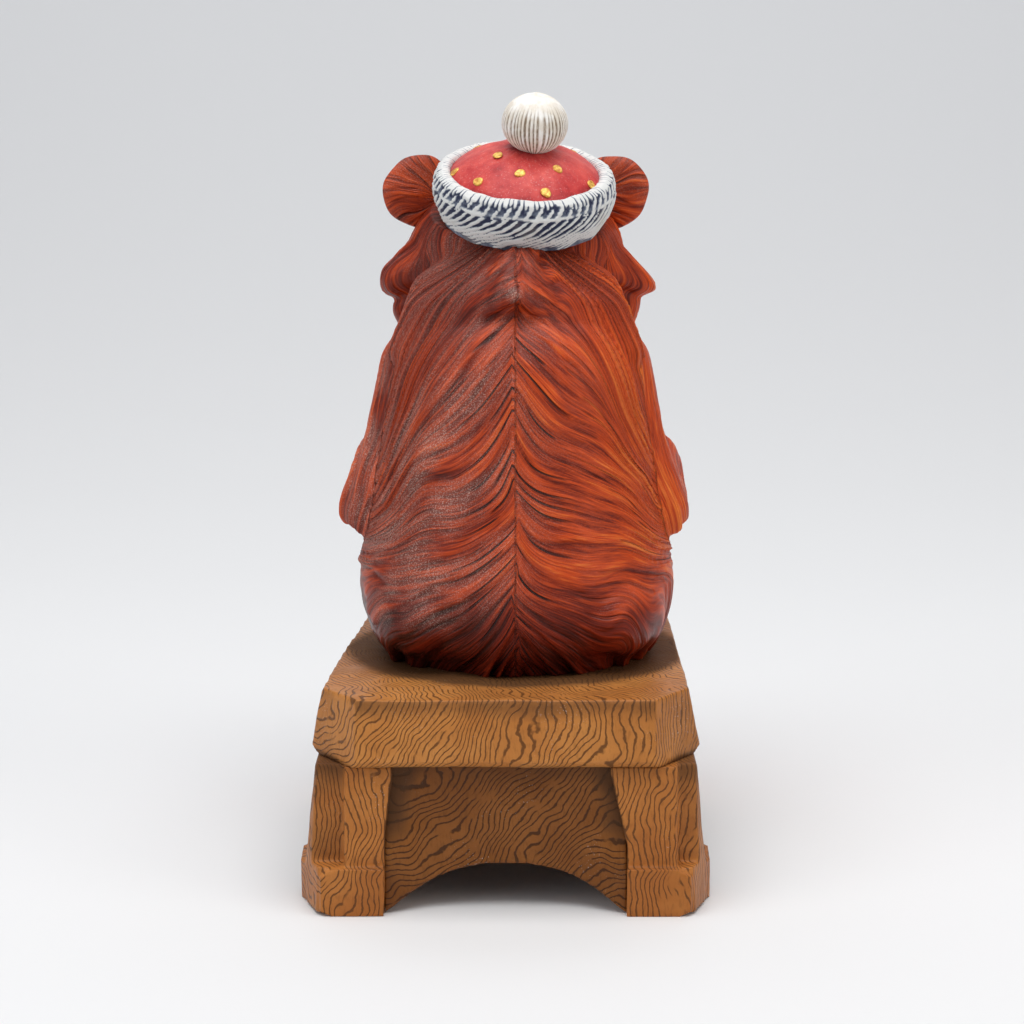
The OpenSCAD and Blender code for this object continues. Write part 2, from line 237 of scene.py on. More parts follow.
class Shade:
    """A small hand for wiring one material's nodes."""

    def __init__(self, name: str) -> None:
        """Starts an empty material.

        Args:
            name: The material's name.
        """
        self.material = bpy.data.materials.new(name)
        self.material.use_nodes = True
        self.tree = self.material.node_tree
        self.tree.nodes.clear()
        self.out = self.tree.nodes.new("ShaderNodeOutputMaterial")

    def put(self, socket: bpy.types.NodeSocket, value: object) -> None:
        """Links a socket to another, or sets its own value."""
        if isinstance(value, bpy.types.NodeSocket):
            self.tree.links.new(value, socket)
        else:
            socket.default_value = value

    def attribute(self, name: str, many: bool = False) -> bpy.types.NodeSocket:
        """Reads what note_on_points wrote."""
        node = self.tree.nodes.new("ShaderNodeAttribute")
        node.attribute_name = name
        return node.outputs["Vector" if many else "Fac"]

    def place(self, scale: Triple = (1, 1, 1), shift: Triple = (0, 0, 0),
              source: object = None) -> bpy.types.NodeSocket:
        """Object coordinates, or another vector, scaled and moved."""
        if source is None:
            source = self.tree.nodes.new("ShaderNodeTexCoord").outputs["Object"]
        node = self.tree.nodes.new("ShaderNodeMapping")
        node.inputs["Scale"].default_value = scale
        node.inputs["Location"].default_value = shift
        self.tree.links.new(source, node.inputs["Vector"])
        return node.outputs["Vector"]

    def noise(self, at: object, scale: float = 1.0, detail: float = 2.0,
              rough: float = 0.5) -> bpy.types.NodeSocket:
        """Noise from 0 to 1 at a vector."""
        node = self.tree.nodes.new("ShaderNodeTexNoise")
        self.put(node.inputs["Vector"], at)
        node.inputs["Scale"].default_value = scale
        node.inputs["Detail"].default_value = detail
        node.inputs["Roughness"].default_value = rough
        return node.outputs["Fac"]

    def sum(self, how: str, a: object, b: object = 0.0, c: object = 0.0) -> bpy.types.NodeSocket:
        """One arithmetic step, such as ADD or MULTIPLY."""
        node = self.tree.nodes.new("ShaderNodeMath")
        node.operation = how
        for socket, value in zip(node.inputs, (a, b, c)):
            self.put(socket, value)
        return node.outputs[0]

    def part(self, vector: object, axis: str) -> bpy.types.NodeSocket:
        """One coordinate of a vector."""
        node = self.tree.nodes.new("ShaderNodeSeparateXYZ")
        self.put(node.inputs[0], vector)
        return node.outputs[axis]

    def vector(self, x: object, y: object, z: object) -> bpy.types.NodeSocket:
        """A vector from three numbers."""
        node = self.tree.nodes.new("ShaderNodeCombineXYZ")
        for socket, value in zip(node.inputs, (x, y, z)):
            self.put(socket, value)
        return node.outputs[0]

    def span(self, value: object, low: float, high: float, start: float = 0.0,
             end: float = 1.0) -> bpy.types.NodeSocket:
        """Rises smoothly from start to end as the value goes from low to high."""
        node = self.tree.nodes.new("ShaderNodeMapRange")
        node.interpolation_type = "SMOOTHSTEP"
        for name, given in (("Value", value), ("From Min", low), ("From Max", high),
                            ("To Min", start), ("To Max", end)):
            self.put(node.inputs[name], given)
        return node.outputs["Result"]

    def blend(self, fac: object, a: object, b: object) -> bpy.types.NodeSocket:
        """Two colours mixed."""
        node = self.tree.nodes.new("ShaderNodeMix")
        node.data_type = "RGBA"
        self.put(node.inputs[0], fac)
        self.put(node.inputs[6], self.colour(a))
        self.put(node.inputs[7], self.colour(b))
        return node.outputs[2]

    @staticmethod
    def colour(value: object) -> object:
        """A colour with its alpha, or the socket as it is."""
        return (*value, 1.0) if isinstance(value, tuple) and len(value) == 3 else value

    def ramp(self, fac: object, stops: Sequence[tuple[float, Triple]]) -> bpy.types.NodeSocket:
        """A colour ramp."""
        node = self.tree.nodes.new("ShaderNodeValToRGB")
        self.put(node.inputs[0], fac)
        points = node.color_ramp.elements
        while len(points) < len(stops):
            points.new(0.5)
        for point, (where, colour) in zip(points, stops):
            point.position = where
            point.color = (*colour, 1.0)
        return node.outputs[0]

    def bump(self, height: object, depth: float, strength: float = 1.0,
             under: object = None) -> bpy.types.NodeSocket:
        """A relief too fine for the mesh.

        Args:
            height: Its height, where 1 is depth.
            depth: Its greatest height, in metres.
            strength: How much of it shows.
            under: The normal of a coarser relief.

        Returns:
            The normal to give to the shader.
        """
        node = self.tree.nodes.new("ShaderNodeBump")
        node.inputs["Distance"].default_value = depth
        node.inputs["Strength"].default_value = strength
        self.put(node.inputs["Height"], height)
        if under is not None:
            self.put(node.inputs["Normal"], under)
        return node.outputs[0]

    def done(self, **inputs: object) -> bpy.types.Material:
        """Wires the principled shader and gives back the material."""
        node = self.tree.nodes.new("ShaderNodeBsdfPrincipled")
        for name, value in inputs.items():
            self.put(node.inputs[name.replace("_", " ")], self.colour(value))
        self.tree.links.new(node.outputs[0], self.out.inputs["Surface"])
        return self.material


def dress(obj: bpy.types.Object, material: bpy.types.Material) -> None:
    """Gives an object one material."""
    obj.data.materials.clear()
    obj.data.materials.append(material)


@dataclass(frozen=True)
class FurStain:
    """Red-brown stain and varnish over carved hair, darker in the cuts from gathered stain and painted
    shade, with painted shade low down and at the nape, dust where it settles and a painted highlight on the
    tuft.
    """

    hollow: Triple = (0.040, 0.005, 0.003)
    deep: Triple = (0.200, 0.018, 0.005)
    body: Triple = (0.560, 0.064, 0.009)
    crest: Triple = (0.880, 0.240, 0.040)
    line: Triple = (0.010, 0.006, 0.008)
    # Also paints the highlight on the tuft.
    dust: Triple = (0.66, 0.50, 0.42)

    def made(self) -> bpy.types.Material:
        """The material; it reads the flow, relief and gouge of each point."""
        s = Shade("fur_stain")
        flow = s.attribute("flow", many=True)
        relief = s.attribute("relief")
        locks = s.noise(s.place((0.05, 0.24, 1), source=flow), 1.0, 3, 0.55)
        strands = s.noise(s.place((0.075, 0.95, 1), source=flow), 1.0, 2, 0.6)
        hairs = s.noise(s.place((0.16, 2.6, 1), source=flow), 1.0, 2, 0.6)
        # Darker down in the cuts and lighter on the crests: stain gathered in the cuts, partly painted
        # shade.
        tone = s.sum("ADD", s.sum("MULTIPLY", relief, 0.44), s.sum("MULTIPLY", locks, 0.44))
        tone = s.sum("ADD", tone, s.sum("MULTIPLY", s.span(strands, 0.3, 0.7), 0.22))
        tone = s.sum("ADD", tone, s.sum("MULTIPLY", s.span(hairs, 0.3, 0.7), 0.18))
        # Painted shade: darker low down and at the nape under the hat, mixed with darker old stain; the
        # left darker and the right lighter as light falls.
        tone = s.sum("SUBTRACT", tone, s.sum("ADD", 0.15, s.sum("MULTIPLY", s.attribute("age"), 0.26)))
        colour = s.ramp(tone, ((0.0, self.hollow), (0.26, self.deep), (0.52, self.body),
                               (0.86, self.crest)))
        gouge = s.attribute("gouge")
        lane = s.sum("MULTIPLY", s.part(flow, "Y"), 0.42)
        cut = s.sum("ABSOLUTE", s.sum("SUBTRACT", s.sum("FRACT", lane), 0.5))
        nick = s.noise(s.vector(s.sum("MULTIPLY", s.part(flow, "X"), 0.07),
                                s.sum("MULTIPLY", s.sum("FLOOR", lane), 3.7),
                                s.part(flow, "Z")), 1.0, 0)
        thin = s.sum("MULTIPLY", s.span(cut, 0.15, 0.05), s.span(nick, 0.50, 0.58))
        thin = s.sum("MULTIPLY", thin, gouge)
        colour = s.blend(s.sum("MULTIPLY", thin, 0.9), colour, self.line)
        # Dust whitens the fur; the same mix paints the highlight on the tuft.
        grit = s.span(s.noise(s.place((1, 1, 1)), 3900.0, 1, 0.6), 0.50, 0.66)
        patch = s.noise(s.place((0.07, 0.11, 1), (4.0, 2.0, 0.0), source=flow), 1.0, 2, 0.5)
        here = s.sum("MULTIPLY", s.attribute("dust"), s.span(patch, 0.30, 0.66))
        powder_and_highlight = s.sum("MULTIPLY", here, s.sum("ADD", s.sum("MULTIPLY", grit, 0.50), 0.09))
        colour = s.blend(powder_and_highlight, colour, self.dust)
        fine = s.bump(hairs, 0.00022, 0.8, s.bump(strands, 0.0005, 0.8))
        fine = s.bump(s.sum("SUBTRACT", 1.0, thin), 0.0006, 1.0, fine)
        rough = s.sum("ADD", s.sum("MULTIPLY", hairs, 0.2),
                      s.sum("ADD", 0.26, s.sum("MULTIPLY", powder_and_highlight, 0.7)))
        return s.done(Base_Color=colour, Roughness=rough, Normal=fine, Specular_IOR_Level=0.2)


@dataclass(frozen=True)
class GrainedStain:
    """Golden stain with brushed dark grain lines, darkened by soiling and by painted shade in recesses,
    under overhangs and on faces turned down or inward.
    """

    ground: Triple = (0.44, 0.162, 0.038)
    pale: Triple = (0.56, 0.232, 0.060)
    line: Triple = (0.105, 0.040, 0.013)
    # The colour of soiling and of painted shade.
    grime_and_shade: Triple = (0.080, 0.036, 0.015)

    def made(self, name: str, seed: float, along: Triple, shift: Triple) -> bpy.types.Material:
        """The material for one board.

        Args:
            name: The material's name.
            seed: Tells one board's pattern from another's.
            along: The direction, in lines a metre, that the lines are counted in.
            shift: Where the pattern starts.

        Returns:
            The material.
        """
        s = Shade(name)
        spot = s.place((1, 1, 1), shift)
        broad = s.noise(s.place((34, 34, 34), (seed, seed, 0)), 1.0, 1, 0.4)
        wavy = s.noise(s.place((120, 120, 120), (0, seed, seed)), 1.0, 1, 0.5)
        shaky = s.noise(s.place((420, 420, 420)), 1.0, 2, 0.5)
        count = s.sum("MULTIPLY", broad, 20.0)
        count = s.sum("ADD", count, s.sum("MULTIPLY", wavy, 5.0))
        count = s.sum("ADD", count, s.sum("MULTIPLY", shaky, 0.85))
        for axis, per_metre in zip("XYZ", along):
            if per_metre:
                count = s.sum("ADD", count, s.sum("MULTIPLY", s.part(spot, axis), 1.25 * per_metre))
        rib = s.sum("ABSOLUTE", s.sum("SUBTRACT", s.sum("FRACT", count), 0.5))
        brush = s.noise(s.place((900, 900, 900)), 1.0, 2, 0.6)
        lifted = s.span(s.noise(s.place((260, 260, 260), (seed, 9, 0)), 1.0, 1, 0.5), 0.28, 0.40)
        edge = s.sum("ADD", 0.02, s.sum("MULTIPLY", brush, 0.16))
        stroke = s.sum("MULTIPLY", s.span(s.sum("SUBTRACT", rib, edge), 0.07, -0.03), lifted)
        tint = s.noise(s.place((60, 60, 60), (seed, 0, 0)), 1.0, 3, 0.6)
        wood = s.blend(s.span(tint, 0.35, 0.7), self.ground, self.pale)
        pores = s.noise(s.place((1800, 1800, 600)), 1.0, 1, 0.5)
        wood = s.blend(s.span(pores, 0.5, 0.75, 0.0, 0.22), wood, self.line)
        colour = s.blend(s.sum("MULTIPLY", stroke, 0.84), wood, self.line)
        # Soiling mixed with painted shade: each board's mask, broken up by blotches.
        dirt_and_shade = s.attribute("grime_and_shade")
        blot = s.noise(s.place((95, 95, 95), (0, 0, seed)), 1.0, 4, 0.65)
        dirt_and_shade = s.span(s.sum("ADD", dirt_and_shade, s.sum("MULTIPLY", s.sum("SUBTRACT", blot, 0.5), 0.7)),
                      0.2, 0.95)
        colour = s.blend(s.sum("MULTIPLY", dirt_and_shade, 0.86), colour, self.grime_and_shade)
        fleck = s.span(s.noise(s.place((1, 1, 1)), 2600.0, 1, 0.5), 0.66, 0.74)
        where = s.span(s.noise(s.place((70, 70, 70), (seed, 3, 0)), 1.0, 2, 0.5), 0.5, 0.75)
        colour = s.blend(s.sum("MULTIPLY", s.sum("MULTIPLY", fleck, where), 0.5), colour,
                         (0.66, 0.60, 0.52))
        height = s.sum("ADD", s.sum("MULTIPLY", stroke, -0.5), s.sum("MULTIPLY", brush, 0.5))
        normal = s.bump(height, 0.00022, 0.7, s.bump(tint, 0.0006, 0.4))
        rough = s.sum("ADD", 0.36, s.sum("MULTIPLY", dirt_and_shade, 0.3))
        return s.done(Base_Color=colour, Roughness=rough, Normal=normal, Specular_IOR_Level=0.16)


@dataclass(frozen=True)
class TrimPaint:
    """White and grey strokes brushed over navy, on raised strands of fur."""

    navy: Triple = (0.018, 0.022, 0.060)
    shadow: Triple = (0.16, 0.19, 0.25)
    white: Triple = (0.74, 0.74, 0.72)
    cream: Triple = (0.55, 0.47, 0.38)

    def made(self) -> bpy.types.Material:
        """The material; it reads how high each strand stands."""
        s = Shade("trim_paint")
        height = s.attribute("strand")
        dry = s.noise(s.place((700, 700, 700)), 1.0, 3, 0.6)
        tone = s.sum("ADD", height, s.sum("MULTIPLY", s.sum("SUBTRACT", dry, 0.5), 0.55))
        colour = s.ramp(tone, ((0.10, self.navy), (0.32, self.shadow), (0.56, self.white)))
        stain = s.span(s.noise(s.place((90, 90, 90)), 1.0, 3, 0.6), 0.5, 0.75)
        colour = s.blend(s.sum("MULTIPLY", stain, 0.35), colour, self.cream)
        normal = s.bump(dry, 0.0003, 0.7)
        return s.done(Base_Color=colour, Roughness=0.62, Normal=normal, Specular_IOR_Level=0.35)


@dataclass(frozen=True)
class CrownPaint:
    """Crimson paint brushed from the crown's middle outwards, with painted shade round the bobble's foot
    and by the fur roll.
    """

    light: Triple = (0.78, 0.110, 0.085)
    mid: Triple = (0.52, 0.036, 0.036)
    dark: Triple = (0.16, 0.010, 0.014)

    def made(self) -> bpy.types.Material:
        """The material; it reads its own bearing and distance from the middle."""
        s = Shade("crown_paint")
        polar = s.attribute("polar", many=True)
        sweep = s.noise(s.place((4.2, 0.35, 1), source=polar), 1.0, 4, 0.65)
        cloud = s.noise(s.place((130, 130, 130)), 1.0, 3, 0.6)
        tone = s.sum("ADD", s.sum("MULTIPLY", sweep, 0.55), s.sum("MULTIPLY", cloud, 0.55))
        # Painted shade round the foot of the bobble, and next to the fur roll at the rim.
        tone = s.sum("SUBTRACT", tone, s.span(s.part(polar, "Y"), 5.5, 2.2, 0.0, 0.3))
        tone = s.sum("SUBTRACT", tone, s.span(s.part(polar, "Y"), 14.5, 17.4, 0.0, 0.25))
        colour = s.ramp(tone, ((0.22, self.dark), (0.46, self.mid), (0.74, self.light)))
        dust = s.span(s.noise(s.place((1, 1, 1)), 2500.0, 1, 0.6), 0.6, 0.72, 0.0, 0.18)
        colour = s.blend(dust, colour, (0.7, 0.6, 0.58))
        normal = s.bump(sweep, 0.0004, 0.6)
        return s.done(Base_Color=colour, Roughness=0.42, Normal=normal, Specular_IOR_Level=0.3)


@dataclass(frozen=True)
class GoldDot:
    """Gold paint in a small thick drop."""

    gold: Triple = (0.95, 0.62, 0.13)
    worn: Triple = (0.62, 0.26, 0.04)

    def made(self) -> bpy.types.Material:
        """The material, patchy where the drop is thin."""
        s = Shade("gold_dot")
        patch = s.noise(s.place((1100, 1100, 1100)), 1.0, 3, 0.6)
        colour = s.blend(s.span(patch, 0.4, 0.62), self.worn, self.gold)
        normal = s.bump(patch, 0.0002, 0.6)
        return s.done(Base_Color=colour, Metallic=0.3, Roughness=0.34, Normal=normal)


@dataclass(frozen=True)
class BobblePaint:
    """Cream paint, browned down in the grooves by soiling and painted shade."""

    cream: Triple = (0.80, 0.73, 0.63)
    chalk: Triple = (0.93, 0.90, 0.85)
    grime_and_shade: Triple = (0.24, 0.155, 0.090)

    def made(self) -> bpy.types.Material:
        """The material; it reads how deep each groove is."""
        s = Shade("bobble_paint")
        deep = s.attribute("groove")
        patch = s.noise(s.place((330, 330, 330)), 1.0, 3, 0.6)
        fine = s.noise(s.place((1500, 1500, 700)), 1.0, 2, 0.6)
        paint = s.blend(s.span(patch, 0.4, 0.66), self.cream, self.chalk)
        # Brown in the grooves: soiling, and painted shade.
        dirt_and_shade = s.sum("MULTIPLY", s.span(deep, 0.05, 0.55), s.span(fine, 0.3, 0.62, 0.5, 1.0))
        colour = s.blend(s.sum("MULTIPLY", dirt_and_shade, 0.9), paint, self.grime_and_shade)
        normal = s.bump(fine, 0.00025, 0.6)
        return s.done(Base_Color=colour, Roughness=0.6, Normal=normal, Specular_IOR_Level=0.35)


@dataclass(frozen=True)
class BeadGloss:
    """Black lacquer on the eyes and the nose."""

    black: Triple = (0.012, 0.008, 0.007)

    def made(self) -> bpy.types.Material:
        """The material, with the faintest brush marks."""
        s = Shade("bead_gloss")
        marks = s.noise(s.place((400, 400, 400)), 1.0, 3, 0.6)
        colour = s.blend(s.span(marks, 0.4, 0.7, 0.0, 0.4), self.black, (0.05, 0.03, 0.022))
        return s.done(Base_Color=colour, Roughness=0.12, Normal=s.bump(marks, 0.0001, 0.3),
                      Coat_Weight=0.6)


@dataclass(frozen=True)
class ClawStain:
    """Dark stain on the claws, worn brown along their backs."""

    dark: Triple = (0.030, 0.014, 0.009)
    worn: Triple = (0.150, 0.062, 0.028)

    def made(self) -> bpy.types.Material:
        """The material, worn in streaks."""
        s = Shade("claw_stain")
        worn = s.noise(s.place((600, 600, 300)), 1.0, 3, 0.6)
        colour = s.blend(s.span(worn, 0.45, 0.72), self.dark, self.worn)
        return s.done(Base_Color=colour, Roughness=0.34, Normal=s.bump(worn, 0.0002, 0.5))


@dataclass(frozen=True)
class RawDowel:
    """Bare pale wood with its grain."""

    pale: Triple = (0.62, 0.44, 0.25)
    grain: Triple = (0.40, 0.25, 0.12)

    def made(self) -> bpy.types.Material:
        """The material, with fine lengthwise pores."""
        s = Shade("raw_dowel")
        grain = s.noise(s.place((900, 900, 120)), 1.0, 3, 0.6)
        colour = s.blend(s.span(grain, 0.35, 0.7), self.pale, self.grain)
        return s.done(Base_Color=colour, Roughness=0.7, Normal=s.bump(grain, 0.0002, 0.5))


@dataclass(frozen=True)
class ZincSteel:
    """Zinc-plated steel."""

    steel: Triple = (0.55, 0.56, 0.58)

    def made(self) -> bpy.types.Material:
        """The material, with dull patches."""
        s = Shade("zinc_steel")
        dull = s.noise(s.place((500, 500, 500)), 1.0, 3, 0.6)
        colour = s.blend(s.span(dull, 0.4, 0.7), self.steel, (0.40, 0.40, 0.40))
        return s.done(Base_Color=colour, Metallic=1.0, Roughness=s.span(dull, 0.3, 0.7, 0.25, 0.5))


# ---------------------------------------------------------------- the bear


class Part(Enum):
    """The carved pieces of the bear, by the names of their solids."""

    TORSO = "torso"
    HEAD = "head"
    ARM_LEFT = "arm_left"
    ARM_RIGHT = "arm_right"
    LEG_LEFT = "hind_leg_left"
    LEG_RIGHT = "hind_leg_right"


@dataclass
class Stand:
    """Where the figure stands, read from the frame, in millimetres."""

    axis: Triple = (0.0, 0.0, 0.0)
    seat_top: float = 0.0
    seat_front: float = 0.0

    def __post_init__(self) -> None:
        """Takes the bear's axis and the seat's height from the solids' boxes."""
        torso = [np.array(corner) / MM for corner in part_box("torso")]
        seat = [np.array(corner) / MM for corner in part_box("seat_board")]
        self.axis = ((torso[0][0] + torso[1][0]) / 2, (seat[0][1] + seat[1][1]) / 2, 0.0)
        self.seat_top = seat[1][2]
        self.seat_front = seat[0][1]

    def metres(self, x: float, y: float, z: float) -> Triple:
        """A point given from the bear's axis, in metres in the figure's own frame."""
        return ((x + self.axis[0]) * MM, (y + self.axis[1]) * MM, z * MM)

    def egg(self, row: Row, around: int = 64) -> bpy.types.Object:
        """An egg given by its middle and its radii from the bear's axis."""
        radii = (row[3] * MM, row[4] * MM, row[5] * MM)
        return ball(self.metres(*row[:3]), radii, around)


@dataclass
class LimbFlow:
    """Hair that runs lengthwise down a limb."""

    joints: Sequence[Triple]
    side: float
    girth: float
    seed: int

    def along_across(self, p: np.ndarray) -> tuple[np.ndarray, np.ndarray]:
        """How far down the limb, and how far round it, each point is.

        Args:
            p: Points in millimetres from the bear's axis.

        Returns:
            The two distances in millimetres.
        """
        best = np.full(len(p), np.inf)
        along, across = np.zeros(len(p)), np.zeros(len(p))
        out = np.array((self.side, 0.0, 0.0))
        walked = 0.0
        for start, end in zip(self.joints[:-1], self.joints[1:]):
            a, b = np.array(start), np.array(end)
            length = float(np.linalg.norm(b - a))
            way = (b - a) / length
            t = np.clip((p - a) @ way, 0.0, length)
            off = p - a - t[:, None] * way
            far = np.linalg.norm(off, axis=1)
            ref = out - way * (out @ way)
            ref /= np.linalg.norm(ref)
            angle = np.arctan2(off @ np.cross(way, ref), off @ ref)
            near = far < best
            best[near] = far[near]
            along[near] = (walked + t)[near]
            across[near] = (self.girth * angle)[near]
            walked += length
        sway = Wander(self.seed)
        across = across + 1.3 * sway.at(along / 11.0, across / 7.0)
        return along, across


@dataclass
class BackFlow:
    """Hair that parts at the spine and sweeps down and out round the trunk."""

    girth: float = 33.0
    waist_y: float = -1.0
    heights: Sequence[float] = (44.0, 54.0, 62.0, 70.0, 80.0, 92.0, 104.0, 114.0, 126.0)
    falls: Sequence[float] = (0.50, 0.36, 0.24, 0.20, 0.25, 0.30, 0.30, 0.26, 0.20)
    collar: float = 124.2

    def along_across(self, p: np.ndarray) -> tuple[np.ndarray, np.ndarray]:
        """How far round from the spine, and how far up the back, each strand is.

        Args:
            p: Points in millimetres from the bear's axis.

        Returns:
            The two distances in millimetres.
        """
        loose = Wander(11)
        z = p[:, 2]
        off = 0.9 * loose.at(z / 9.0, np.full(len(p), 60.0)) * np.sign(p[:, 1] - self.waist_y)
        bearing = np.arctan2(p[:, 0] - off, p[:, 1] - self.waist_y)
        turn = np.minimum(np.abs(bearing), np.pi - np.abs(bearing))
        along = self.girth * turn
        right = (p[:, 0] < off).astype(float)
        z_bent = z + 1.6 * loose.at(along / 13.0 + 40.0 * right, z / 17.0)
        fall = np.interp(z_bent, self.heights, self.falls)
        steep = 8.0 - 6.4 * ease(98.0, 126.0, z)
        across = z_bent + steep * (1.0 - np.exp(-along / 6.0)) + fall * along
        across += soft_over(along - 27.0, 2.5) * np.interp(z, (66.0, 80.0), (0.0, 1.5))
        across += soft_over(along - 16.0, 5.0) * 0.24 * ease(78.0, 92.0, z) * ease(126.0, 108.0, z)
        lift = soft_over(along - 13.0, 3.0) - soft_over(along - 36.0, 4.0)
        across -= lift * right * np.interp(z, (48.0, 64.0, 86.0, 100.0), (0.0, 0.20, 0.30, 0.0))
        low = ease(70.0, 56.0, z)
        wave = np.sin(along / 2.9 + 1.6 * loose.at(along / 16.0, z / 14.0 + 9.0) + 3.0 * right)
        across += wave * low * (0.35 + 0.65 * right) * ease(12.0, 24.0, along)
        return along, across


@dataclass
class HeadFlow:
    """Hair that falls from under the hat, down the face and out over the cheeks."""

    crown: Triple
    lean: float
    girth: float = 24.0

    def along_across(self, p: np.ndarray) -> tuple[np.ndarray, np.ndarray]:
        """How far down from the hat, and how far round it, each point is.

        Args:
            p: Points in millimetres from the bear's axis.

        Returns:
            The two distances in millimetres.
        """
        q = p - np.array(self.crown)
        c, s = math.cos(self.lean), math.sin(self.lean)
        up = q[:, 1] * s + q[:, 2] * c
        back = q[:, 1] * c - q[:, 2] * s
        bearing = np.abs(np.arctan2(q[:, 0], back))
        along = np.hypot(np.hypot(q[:, 0], back), up)
        loose = Wander(23)
        across = self.girth * bearing + 0.25 * (along - 20.0) * np.sin(bearing)
        across += 1.6 * loose.at(along / 9.0 + 30.0 * (p[:, 0] < 0), across / 8.0)
        return along, across


@dataclass
class HairCut:
    """How deep the gouge goes: broad locks, the tresses in them, and the strands."""

    lock: float = 5.4
    lock_deep: float = 1.2
    tress: float = 2.3
    tress_deep: float = 0.34
    strand: float = 1.15
    strand_deep: float = 0.10
    seed: int = 3

    @staticmethod
    def shingle(count: np.ndarray) -> np.ndarray:
        """The height across one lock: steep at its lower edge, then falling away."""
        phase = count - np.floor(count)
        return ease(0.0, 0.24, phase) * (1.0 - 0.85 * phase)

    def relief(self, along: np.ndarray, across: np.ndarray) -> np.ndarray:
        """The height of the carved hair at each point, in millimetres.

        Args:
            along: Distance along the hair, in millimetres.
            across: Distance across the hair, in millimetres.

        Returns:
            Heights above the deepest cut.
        """
        loose = Wander(self.seed)
        big = across / self.lock + 0.75 * loose.at(along / 15.0, across / 13.0)
        fade = 0.55 + 0.45 * loose.at(along / 12.0, np.floor(big) * 7.3)
        height = self.lock_deep * fade * self.shingle(big)
        mid = across / self.tress + 0.8 * loose.at(along / 9.0, across / 6.0 + 50.0)
        fade = 0.5 + 0.5 * loose.at(along / 8.0, np.floor(mid) * 5.1 + 20.0)
        height += self.tress_deep * fade * self.shingle(mid)
        fine = across / self.strand + 0.5 * loose.at(along / 6.0, across / 3.0 + 90.0)
        height += self.strand_deep * (0.5 + 0.5 * np.cos(2 * np.pi * fine))
        return height


